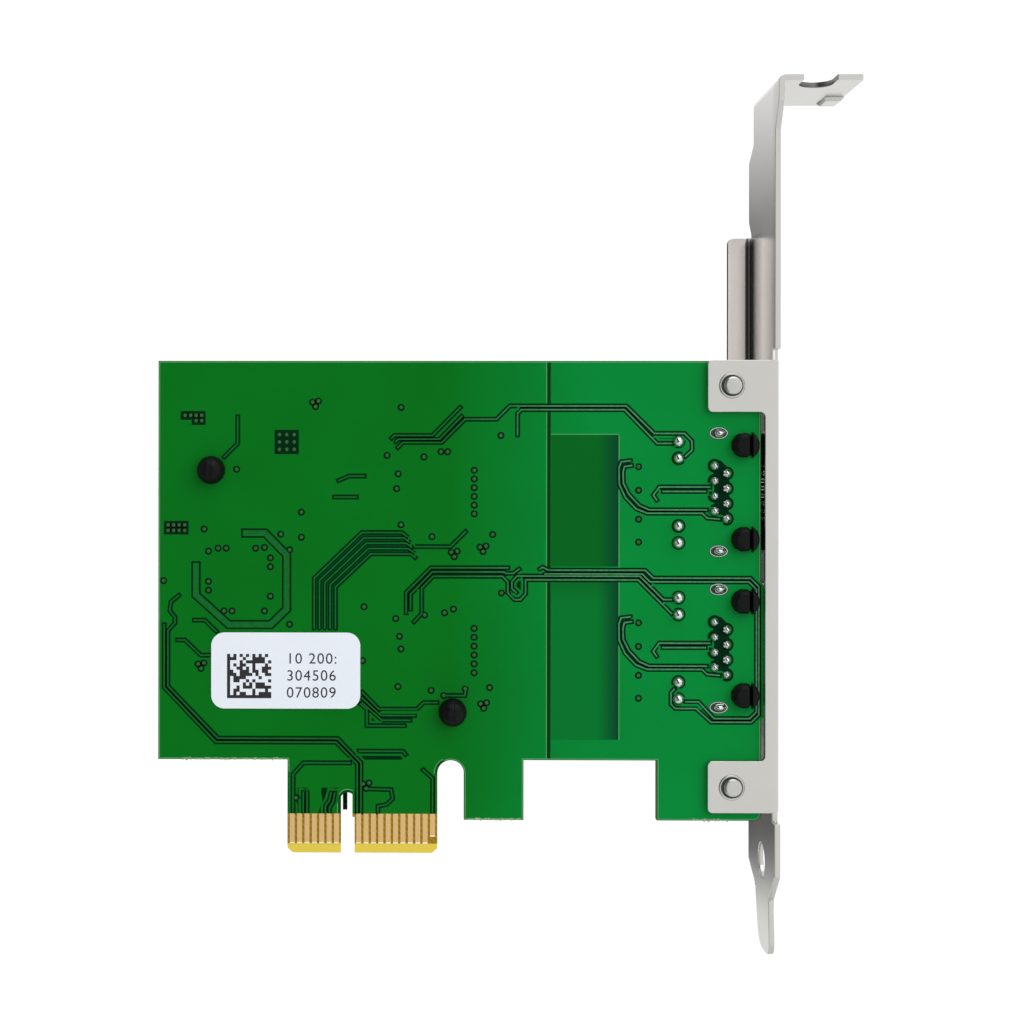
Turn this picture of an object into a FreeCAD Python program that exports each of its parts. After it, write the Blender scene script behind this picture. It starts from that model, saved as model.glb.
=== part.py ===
import FreeCAD, Part
import math
import os

from FreeCAD import Vector

# Dual-port network card for a one-lane edge connector: a low board that
# carries a full-height bracket. Millimetres.
# Origin: centre of the key notch at the lower edge of the board, half way
# through the board. X runs to the bracket, Z up the card, -Y is the solder side.

# Board
BOARD_T = 1.57
BOARD_LEFT = -25.7
BOARD_RIGHT = 55.8
BOARD_TOP = 66.7
BOARD_BOTTOM = 12.7
CORNER_R = 1.0
TONGUE_LEFT = -8.15
TONGUE_RIGHT = 12.15
TONGUE_CHAMFER = 0.7
BEVEL_H = 1.35
BEVEL_DEPTH = 0.45
KEY_W = 1.9
KEY_TOP = 8.25
SLOT_W = 3.6
SLOT_TOP = 12.66
TAB_BOTTOM = 4.6
MIDDLE_TAB_W = 8.05
END_TAB_W = 14.0

# Copper on the board's faces
COPPER_T = 0.05
TRACE_W = 0.2
RING_W = 0.8
CONTACT_PITCH = 1.0
CONTACT_W = 0.68
CONTACT_TOP = 5.4
KEY_TO_CONTACT = 1.5
SHORT_CONTACT_BOTTOM = 2.3
CONTACTS_TO_SLOT = 11
CONTACTS_TO_END = 7

# Label
LABEL_X = -8.4
LABEL_Z = 24.75
LABEL_W = 20.2
LABEL_H = 10.3
LABEL_R = 1.8
LABEL_T = 0.1

# Bracket sheet
SHEET_T = 0.8
BEND_R = 0.7
PLATE_GAP = 1.7
PLATE_W = 18.42
FLANGE_TOP = 104.8
FLANGE_L = 11.43
FLANGE_BEND_R = 0.3
FLANGE_CORNER_R = 1.6
UPPER_SHIFT = 2.3
UPPER_W = 17.3
UPPER_NEAR_START = 97.8
UPPER_NEAR_RISE = 3.5
UPPER_FAR_START = 96.3
UPPER_FAR_RISE = 2.1
NOTCH_X = 63.15
NOTCH_W = 4.5
NOTCH_DEPTH = 5.3
BEAD_W = 2.8
BEAD_L = 4.6
BEAD_H = 0.5
LIP_GAP = 0.4
LIP_BOTTOM = 5.76
LIP_TOP = 66.8
TAB_L = 7.3
TAB_H = 7.02
TAB_R = 0.7
RELIEF_H = 1.5
RELIEF_DEPTH = 0.3
WING_TOP = 85.4
WING_L = 3.2
WING_R = 0.8
WING_RUN_OUT = 2.3
SHOULDER_NEAR = -2.9
SHOULDER_FAR = -4.4
SHOULDER_END = -7.0
TONGUE_TIP = -15.22
TONGUE_W = 9.2
TONGUE_TIP_W = 7.4
TONGUE_SIDE = 4.4
TONGUE_TILT = 2.6
TONGUE_HOLE_R = 2.4
TONGUE_HOLE_Z = -2.56

# Bracket screws
SCREW_X = 51.75
SCREW_R = 1.45
SCREW_FIT = 0.07
SCREW_TIP_R = 1.1
SCREW_HEAD_R = 2.8
SCREW_HEAD_H = 1.8
SCREW_INSET = 3.45
COUNTERSINK = 0.2
SCREW_SIDES = 20
RECESS_W = 0.7
RECESS_L = 3.0
RECESS_DEPTH = 1.1

# Modular jacks
JACK_MID_Z = 38.42
JACK_PITCH = 21.1
JACK_W = 16.2
JACK_H = 13.4
JACK_L = 15.4
JACK_PROUD = 0.1
SHIELD_T = 0.25
SHIELD_LIFT = 0.3
SHIELD_FRAME = 0.85
FIT = 0.05
PANEL_FIT = 0.15
SPRING_L = 3.6
SPRING_W = 2.4
SPRING_RISE = 0.45
CAVITY_FLOOR = 1.5
CAVITY_W = 11.9
CAVITY_H = 6.8
CAVITY_L = 12.0
LATCH_W = 6.2
LATCH_H = 1.5
KEYWAY_W = 3.4
KEYWAY_H = 1.6
PEG_X = 53.46
PEG_SPACING = 12.7
PEG_R = 1.6
PEG_TIP_L = 1.7
PEG_SIDES = 16
PEG_SLOT = 0.45
PEG_SLOT_OFFSET = 0.75
PEG_BARB = 0.5
PEG_BARB_L = 1.1
PIN_FRONT_X = 51.2
PIN_STAGGER = 1.65
PIN_PITCH = 1.02
PIN_COUNT = 8
PIN_W = 0.4
PIN_T = 0.3
PIN_HOLE_R = 0.45
LED_PIN_X = 44.7
LED_PIN_INNER = 4.57
LED_PIN_OUTER = 6.86
LED_W = 3.6
LED_H = 2.6
LED_L = 5.5
SHIELD_PIN_X = 50.1
SHIELD_PIN_W = 1.6

# Solder
PAD_R = 0.8
SOLDER_TIP_R = 0.3
SOLDER_H = 0.95
SOLDER_SIDES = 6
SHIELD_PAD_W = 1.6
SHIELD_PAD_L = 2.6

# Heatsink, its fixings and the chips under it
SINK_X = -2.15
SINK_Z = 35.55
SINK_SIZE = 40.0
SINK_BASE_T = 2.5
SINK_H = 10.5
FIN_COUNT = 12
FIN_T = 1.1
PUSH_PIN_OFFSET = 16.35
PUSH_PIN_R = 1.4
PUSH_PIN_FIT = 0.15
PUSH_HEAD_R = 3.2
PUSH_HEAD_T = 1.4
PUSH_PIN_SIDES = 16
BARB_R = 1.92
BARB_DOME_R = 1.45
BARB_TIP_R = 0.7
BARB_L = 2.6
BARB_DOME_L = 0.5
BARB_SLOT = 0.3
SPRING_R = 2.2
SPRING_WIRE = 0.5
SPRING_H = 5.0
SPRING_TURNS = 4
SPRING_STEPS = 10
POCKET_R = 4.2
CHIP_H = 1.8
PAD_T = 0.5
SWITCH_SIZE = 15.0
CONTROLLER_SIZE = 12.0
SWITCH_PLACE = (-14.7, 36.9)
CONTROLLER_X = 11.75
CONTROLLER_MID_Z = 38.0
CONTROLLER_PITCH = 21.6

# Parts beside the heatsink
TRANSFORMER_X = 32.05
TRANSFORMER_MID_Z = 37.1
TRANSFORMER_PITCH = 21.6
TRANSFORMER_W = 11.2
TRANSFORMER_L = 15.2
TRANSFORMER_H = 5.6
TRANSFORMER_LEAD_COUNT = 12
TRANSFORMER_LEAD_PITCH = 1.16
LEAD_W = 0.42
LEAD_T = 0.2
LEAD_REACH = 1.9
FOOT_L = 0.9
FLASH_W = 3.9
FLASH_L = 4.9
FLASH_H = 1.5
FLASH_LEAD_PITCH = 1.27
FLASH_LEAD_COUNT = 4
STAND_OFF = 0.12
TOP_ROW_Z = 61.3
FLASH_X = (-9.0, 1.5)
CRYSTALS = [(21.3, 48.8), (21.3, 27.2), (-17.0, TOP_ROW_Z)]
CRYSTAL_W = 3.2
CRYSTAL_L = 5.0
CRYSTAL_H = 1.2
CRYSTAL_CORNER = 0.4
INDUCTORS = [(12.0, TOP_ROW_Z), (19.5, 11.0)]
INDUCTOR_W = 6.2
INDUCTOR_H = 3.0
INDUCTOR_CORNER = 1.0
REGULATORS = [(19.5, TOP_ROW_Z), (20.2, 18.6)]
REGULATOR_W = 3.6
REGULATOR_L = 6.5
REGULATOR_H = 1.7
TANTALUM_X = 26.0
TANTALUM_PITCH = 5.0
TANTALUM_COUNT = 3
TANTALUM_W = 2.8
TANTALUM_L = 6.0
TANTALUM_H = 2.6
CHIP_PART_W = 0.8
CHIP_PART_L = 1.6
CAPACITOR_H = 0.8
RESISTOR_H = 0.5

SOLDER_Y = -BOARD_T / 2
COMPONENT_Y = BOARD_T / 2
PLATE_IN = BOARD_RIGHT + PLATE_GAP
PLATE_OUT = PLATE_IN + SHEET_T
PLATE_NEAR = SOLDER_Y - SHEET_T
PLATE_FAR = PLATE_NEAR + PLATE_W
JACK_FRONT = PLATE_OUT + JACK_PROUD
JACK_BACK = JACK_FRONT - JACK_L
JACK_TOP = COMPONENT_Y + JACK_H
JACKS = {"upper": JACK_MID_Z + JACK_PITCH / 2, "lower": JACK_MID_Z - JACK_PITCH / 2}
SINK_Y = COMPONENT_Y + CHIP_H + PAD_T
PUSH_PINS = {
    "left": (SINK_X - PUSH_PIN_OFFSET, SINK_Z + PUSH_PIN_OFFSET),
    "right": (SINK_X + PUSH_PIN_OFFSET, SINK_Z - PUSH_PIN_OFFSET),
}
SCREWS = {"upper": LIP_TOP - SCREW_INSET, "lower": LIP_BOTTOM + SCREW_INSET}
CHIPS = {
    "pcie_switch": (*SWITCH_PLACE, SWITCH_SIZE),
    "ethernet_controller_upper":
        (CONTROLLER_X, CONTROLLER_MID_Z + CONTROLLER_PITCH / 2, CONTROLLER_SIZE),
    "ethernet_controller_lower":
        (CONTROLLER_X, CONTROLLER_MID_Z - CONTROLLER_PITCH / 2, CONTROLLER_SIZE),
}


# ---------------------------------------------------------------- shapes
def export(shape, name):
    shape.exportStep("parts/" + name + ".step")


def block(x, y, z):
    """A box between three (low, high) pairs."""
    return Part.makeBox(x[1] - x[0], y[1] - y[0], z[1] - z[0], Vector(x[0], y[0], z[0]))


def around(middle, size):
    return (middle - size / 2, middle + size / 2)


def rod(x, z, radius, y):
    """A round bar across the board, between the heights in y."""
    return Part.makeCylinder(radius, y[1] - y[0], Vector(x, y[0], z), Vector(0, 1, 0))


def taper(x, z, radii, y):
    """A cone across the board, with its two radii at the two heights."""
    place = Vector(x, y[0], z)
    return Part.makeCone(radii[0], radii[1], y[1] - y[0], place, Vector(0, 1, 0))


def ring(x, z, radius, y, sides):
    """The corners of a many-sided ring across the board."""
    points = []
    for i in range(sides):
        turn = 2 * math.pi * (i + 0.5) / sides
        points.append(Vector(x + radius * math.cos(turn), y, z + radius * math.sin(turn)))
    return points


def flat(corners):
    return Part.Face(Part.makePolygon(corners + corners[:1]))


def between(rings):
    """A closed solid with flat sides through like rings of corners."""
    faces = [flat(rings[0]), flat(rings[-1])]
    for low, high in zip(rings, rings[1:]):
        for i in range(len(low)):
            faces.append(flat([low[i - 1], low[i], high[i], high[i - 1]]))
    shell = Part.makeShell(faces)
    shell.sewShape()
    solid = Part.makeSolid(shell)
    return solid if solid.Volume > 0 else solid.reversed()


def turned(x, z, profile, sides):
    """A small turned piece across the board, many-sided, through (height, radius) pairs."""
    return between([ring(x, z, radius, y, sides) for y, radius in profile])


def drilled(x, z, radius, sides):
    """The space of a hole through the board that clears a round bar of this radius."""
    reach = radius / math.cos(math.pi / sides)
    return flat(ring(x, z, reach, SOLDER_Y, sides)).extrude(Vector(0, BOARD_T, 0))


def outline(corners, place):
    """A closed wire through (a, b) or (a, b, radius) corners."""
    count = len(corners)
    flat = [Vector(corner[0], corner[1], 0) for corner in corners]
    turns = []
    for i, corner in enumerate(corners):
        here = flat[i]
        if len(corner) == 2:
            turns.append((here, None, here))
            continue
        back = (flat[i - 1] - here).normalize()
        ahead = (flat[(i + 1) % count] - here).normalize()
        half = back.getAngle(ahead) / 2
        inward = (back + ahead).normalize()
        reach = corner[2] / math.tan(half)
        crown = here + inward * (corner[2] / math.sin(half) - corner[2])
        turns.append((here + back * reach, crown, here + ahead * reach))
    edges = []
    for i, (enter, crown, leave) in enumerate(turns):
        if crown is not None:
            arc = Part.Arc(place(enter), place(crown), place(leave))
            edges.append(arc.toShape())
        following = turns[(i + 1) % count][0]
        if (following - leave).Length > 1e-6:
            edges.append(Part.LineSegment(place(leave), place(following)).toShape())
    return Part.Wire(edges)


def plate_xz(corners, y):
    face = Part.Face(outline(corners, lambda p: Vector(p.x, y[0], p.y)))
    return face.extrude(Vector(0, y[1] - y[0], 0))


def plate_yz(corners, x):
    face = Part.Face(outline(corners, lambda p: Vector(x[0], p.x, p.y)))
    return face.extrude(Vector(x[1] - x[0], 0, 0))


def plate_xy(corners, z):
    face = Part.Face(outline(corners, lambda p: Vector(p.x, p.y, z[0])))
    return face.extrude(Vector(0, 0, z[1] - z[0]))


def cut_corners(a, b, inset):
    """The corners of a rectangle with its corners cut off."""
    return [(a[0] + inset, b[0]), (a[1] - inset, b[0]), (a[1], b[0] + inset), (a[1], b[1] - inset),
            (a[1] - inset, b[1]), (a[0] + inset, b[1]), (a[0], b[1] - inset), (a[0], b[0] + inset)]


def rectangle(a, b, radius):
    """The corners of a rectangle with rounded corners."""
    return [(a[0], b[0], radius), (a[1], b[0], radius), (a[1], b[1], radius), (a[0], b[1], radius)]


def ribbon(points, width, run):
    """A strip of even width along points, with mitred turns, extruded by run."""
    upright = Vector(run) / run.Length
    steps = [(after - before).normalize() for before, after in zip(points, points[1:])]
    sides = [step.cross(upright) for step in steps]
    reaches = []
    for i in range(len(points)):
        before, after = sides[max(i - 1, 0)], sides[min(i, len(sides) - 1)]
        reaches.append((before + after) * (width / 2 / (1 + before.dot(after))))
    rim = [point + reach for point, reach in zip(points, reaches)]
    rim += [point - reach for point, reach in reversed(list(zip(points, reaches)))]
    return Part.Face(Part.makePolygon(rim + rim[:1])).extrude(run)


def elbow(centre, inner, outer, angle, place, run):
    """A quarter ring: the bend of a folded sheet, from angle on by 90 degrees."""
    def at(radius, turn):
        where = math.radians(angle + turn)
        return place(centre[0] + radius * math.cos(where), centre[1] + radius * math.sin(where))
    edges = [
        Part.Arc(at(outer, 0), at(outer, 45), at(outer, 90)).toShape(),
        Part.LineSegment(at(outer, 90), at(inner, 90)).toShape(),
        Part.Arc(at(inner, 90), at(inner, 45), at(inner, 0)).toShape(),
        Part.LineSegment(at(inner, 0), at(outer, 0)).toShape(),
    ]
    return Part.Face(Part.Wire(edges)).extrude(run)


def joined(solids):
    return solids[0].multiFuse(solids[1:]).removeSplitter()


def jack_pins(z):
    """Where the eight contacts of a jack pass the board, in two columns."""
    first = z + PIN_PITCH * (PIN_COUNT - 1) / 2
    return [(PIN_FRONT_X - PIN_STAGGER * (1 - i % 2), first - PIN_PITCH * i)
            for i in range(PIN_COUNT)]


def led_pins(z):
    return [(LED_PIN_X, z + side * offset)
            for side in (1, -1) for offset in (LED_PIN_INNER, LED_PIN_OUTER)]


def shield_pins(z):
    return [(SHIELD_PIN_X, z + side * (JACK_W - SHIELD_T) / 2) for side in (1, -1)]


def pegs(z):
    return [(PEG_X, z + side * PEG_SPACING / 2) for side in (1, -1)]


# ---------------------------------------------------------------- board
def pcb():
    """Laminate board: edge tongue with its key notch, retention slot and two tabs."""
    slot_right = TONGUE_RIGHT + SLOT_W
    board = plate_xz([
        (BOARD_LEFT, BOARD_BOTTOM),
        (TONGUE_LEFT, BOARD_BOTTOM),
        (TONGUE_LEFT, TONGUE_CHAMFER),
        (TONGUE_LEFT + TONGUE_CHAMFER, 0),
        (-KEY_W / 2, 0),
        (-KEY_W / 2, KEY_TOP, KEY_W / 2),
        (KEY_W / 2, KEY_TOP, KEY_W / 2),
        (KEY_W / 2, 0),
        (TONGUE_RIGHT - TONGUE_CHAMFER, 0),
        (TONGUE_RIGHT, TONGUE_CHAMFER),
        (TONGUE_RIGHT, SLOT_TOP, SLOT_W / 2),
        (slot_right, SLOT_TOP, SLOT_W / 2),
        (slot_right, TAB_BOTTOM),
        (slot_right + MIDDLE_TAB_W, TAB_BOTTOM),
        (slot_right + MIDDLE_TAB_W, BOARD_BOTTOM),
        (BOARD_RIGHT - END_TAB_W, BOARD_BOTTOM),
        (BOARD_RIGHT - END_TAB_W, TAB_BOTTOM),
        (BOARD_RIGHT, TAB_BOTTOM, CORNER_R),
        (BOARD_RIGHT, BOARD_TOP),
        (BOARD_LEFT, BOARD_TOP),
    ], (SOLDER_Y, COMPONENT_Y))
    across = (TONGUE_LEFT, TONGUE_RIGHT)
    cuts = [
        plate_yz([(SOLDER_Y, 0), (SOLDER_Y + BEVEL_DEPTH, 0), (SOLDER_Y, BEVEL_H)], across),
        plate_yz([(COMPONENT_Y, 0), (COMPONENT_Y - BEVEL_DEPTH, 0), (COMPONENT_Y, BEVEL_H)], across),
    ]
    through = (SOLDER_Y, COMPONENT_Y)
    for z in JACKS.values():
        cuts += [drilled(*place, PEG_R + FIT, 12) for place in pegs(z)]
        cuts += [drilled(*place, PIN_HOLE_R, 6) for place in jack_pins(z) + led_pins(z)]
        cuts += [block(around(x, SHIELD_PIN_W + 2 * FIT), through, around(pin_z, SHIELD_T + 2 * FIT))
                 for x, pin_z in shield_pins(z)]
    cuts += [drilled(*place, PUSH_PIN_R + PUSH_PIN_FIT, 12) for place in PUSH_PINS.values()]
    cuts += [drilled(SCREW_X, z, SCREW_R + PUSH_PIN_FIT, 12) for z in SCREWS.values()]
    return board.cut(Part.makeCompound(cuts))


def edge_contacts(y, short_index):
    """The gold contacts on one face of the tongue, one of them shorter than the rest."""
    places = [KEY_TO_CONTACT + CONTACT_PITCH * i for i in range(CONTACTS_TO_SLOT)]
    places += [-KEY_TO_CONTACT - CONTACT_PITCH * i for i in range(CONTACTS_TO_END)]
    pads = []
    for i, x in enumerate(places):
        bottom = SHORT_CONTACT_BOTTOM if i == short_index else BEVEL_H
        pads.append(block(around(x, CONTACT_W), y, (bottom, CONTACT_TOP)))
    return Part.makeCompound(pads)


# The tracks of the solder side, as (x, z) points.
TRACKS = [
    # from the upper controller to the upper jack
    [(5.85, 56.15), (6.3, 56.6), (11.45, 56.6), (15.25, 60.45)],
    [(6.4, 55.7), (6.85, 56.1), (12.4, 56.1), (15.45, 59.25)],
    [(6.7, 54.9), (7.45, 55.65), (12.7, 55.65), (15.85, 58.8), (20.1, 58.8), (21.9, 60.6),
     (37.65, 60.6), (41.4, 56.9), (45.5, 56.9), (46.5, 55.85), (46.5, 54.65), (45.55, 53.75)],
    [(22.95, 56.6), (22.95, 59.6), (23.5, 60.1), (37.4, 60.1), (41.8, 55.55), (43.85, 55.55)],
    # between the controllers
    [(8.95, 41.55), (13.9, 41.55), (16.0, 43.65)],
    [(7.9, 32.5), (7.9, 35.35), (11.25, 38.7), (21.75, 38.7)],
    [(8.5, 33.0), (8.5, 35.1), (11.45, 38.15), (21.05, 38.15), (21.45, 37.95), (22.4, 37.95),
     (23.25, 38.6)],
    [(8.9, 31.3), (10.0, 32.5), (10.0, 35.95), (11.55, 37.55), (20.95, 37.55), (21.65, 36.8),
     (21.65, 35.35), (22.55, 34.4), (23.35, 34.4), (24.05, 35.2), (24.05, 37.1), (39.25, 37.1),
     (43.85, 32.5)],
    # through the gap between the transformers to the lower jack
    [(22.85, 35.3), (22.2, 35.9), (22.2, 36.85), (22.9, 37.6), (39.5, 37.6), (42.65, 34.45),
     (43.85, 34.45)],
    [(25.9, 38.5), (26.35, 38.8), (27.15, 38.4), (40.2, 38.4), (41.3, 37.35), (54.4, 37.35),
     (55.53, 36.2), (55.53, 18.9), (54.5, 17.9), (49.1, 17.9), (47.05, 19.75), (44.25, 19.75),
     (43.7, 20.3), (43.7, 21.9), (44.2, 22.4)],
    [(26.6, 37.9), (39.8, 37.9), (40.85, 36.85), (54.2, 36.85), (55.2, 35.85), (55.2, 19.3),
     (54.3, 18.4), (49.5, 18.4), (47.4, 20.65), (45.6, 20.65)],
    # from the controllers down to the lower rail, past the label
    [(1.9, 21.9), (4.2, 19.55), (9.35, 19.55), (10.3, 20.45), (12.2, 20.45)],
    [(1.9, 21.1), (4.5, 18.7), (9.15, 18.7)],
    [(1.9, 20.45), (4.65, 18.05), (8.55, 18.05)],
    [(1.65, 20.3), (2.6, 19.5), (2.6, 17.3), (7.8, 17.3)],
    [(13.15, 21.4), (15.85, 21.4), (16.0, 22.4)],
    # down the left edge and along the bottom to the contacts
    [(-22.85, 34.95), (-24.0, 34.0), (-24.15, 32.8), (-23.45, 31.95), (-23.45, 31.15),
     (-24.4, 30.1), (-24.4, 22.6), (-17.6, 15.55), (-1.35, 15.55), (1.8, 12.3), (1.8, 5.5)],
    [(-24.9, 31.0), (-24.9, 22.4), (-17.9, 15.05), (-1.6, 15.05), (1.3, 12.1), (1.3, 5.5)],
    [(1.45, 13.85), (7.5, 13.85), (7.9, 13.35)],
    [(0.4, 12.25), (-6.0, 12.25), (-7.4, 10.7), (-7.4, 5.5)],
    [(-6.0, 8.35), (-6.0, 5.5)],
    [(-5.5, 8.35), (-5.5, 5.5)],
    [(-2.2, 8.25), (-2.5, 7.15), (-3.0, 6.45), (-3.0, 5.5)],
    [(-1.75, 8.25), (-1.95, 7.0), (-2.45, 6.2), (-2.45, 5.5)],
    [(2.65, 8.75), (5.9, 8.65), (6.1, 7.4), (5.3, 6.65), (4.1, 6.4), (4.1, 5.5)],
    [(10.15, 11.4), (11.5, 10.2), (11.5, 5.5)],
    [(-14.95, 59.2), (-14.95, 55.5), (-16.85, 53.6)],
    [(-1.9, 48.25), (1.25, 48.25)],
    [(-1.35, 50.45), (0.15, 51.1), (2.3, 51.1)],
    [(-20.9, 31.55), (-19.4, 31.55), (-17.75, 29.95)],
    [(-23.2, 28.85), (-22.1, 28.85), (-19.95, 26.8), (-18.6, 26.8)],
]
# Tracks that both jacks repeat, as (x, z from the jack's middle) points.
JACK_TRACKS = [
    [(38.3, 4.25), (36.95, 4.1), (36.65, 3.25), (36.7, 1.05), (37.5, -0.7), (38.95, -2.25),
     (40.45, -2.85), (47.9, -2.85), (48.55, -3.5), (50.3, -3.65)],
    [(38.45, 3.6), (37.4, 3.45), (37.2, 2.7), (37.25, 1.2), (38.0, -0.3), (39.4, -1.8),
     (40.75, -2.4), (48.55, -2.4)],
    [(41.8, -1.15), (41.3, -0.4), (42.1, 0.7), (49.0, 0.7)],
    [(42.5, 0.1), (48.4, 0.1)],
]
# A bundle of parallel tracks from the upper controller to behind the label.
BUNDLE = [(8.0, 42.9), (7.35, 43.45), (1.9, 43.45), (-4.55, 37.25), (-4.55, 30.4)]
BUNDLE_COUNT = 5
BUNDLE_STEP = 0.72
# The wide track round the switch.
RING = [(-14.25, 43.35), (-11.2, 43.35), (-8.3, 40.4), (-8.3, 33.05), (-10.45, 30.95),
        (-16.15, 30.95), (-20.6, 34.95), (-20.6, 39.3)]


def tracks():
    """Raised copper tracks under the solder mask of the solder side."""
    routes = list(TRACKS)
    for z in JACKS.values():
        routes += [[(x, z + rise) for x, rise in route] for route in JACK_TRACKS]
    for i in range(BUNDLE_COUNT):
        step = BUNDLE_STEP * i
        slip = step * math.tan(math.radians(22.5))
        start, turn, knee, foot, end = BUNDLE
        routes.append([(start[0] + slip, start[1] - step), (turn[0] + slip, turn[1] - step),
                       (knee[0] + slip, knee[1] - step), (foot[0] + step, foot[1] - slip),
                       (end[0] + step, end[1])])
    run = Vector(0, -COPPER_T, 0)
    strips = []
    for route in routes:
        strips.append(ribbon([Vector(x, SOLDER_Y, z) for x, z in route], TRACE_W, run))
    strips.append(ribbon([Vector(x, SOLDER_Y, z) for x, z in RING], RING_W, run))
    return Part.makeCompound(strips)


def label():
    """A paper label, stuck over the tracks."""
    face = SOLDER_Y - COPPER_T
    return plate_xz(rectangle(around(LABEL_X, LABEL_W), around(LABEL_Z, LABEL_H), LABEL_R),
                    (face - LABEL_T, face))


def solder_joints():
    """The solder cones of the pins that come through the board."""
    joints = []
    for z in JACKS.values():
        for place in jack_pins(z) + led_pins(z):
            cone = [(SOLDER_Y, PAD_R), (SOLDER_Y - SOLDER_H, SOLDER_TIP_R)]
            joints.append(turned(*place, cone, SOLDER_SIDES))
        for x, pin_z in shield_pins(z):
            pad = cut_corners(around(x, SHIELD_PAD_L), around(pin_z, SHIELD_PAD_W), SHIELD_PAD_W / 4)
            crown = cut_corners(around(x, SHIELD_PIN_W), around(pin_z, 2 * SHIELD_T), SHIELD_T / 2)
            joints.append(between([[Vector(a, SOLDER_Y, b) for a, b in pad],
                                   [Vector(a, SOLDER_Y - SOLDER_H, b) for a, b in crown]]))
    return Part.makeCompound(joints)


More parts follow.
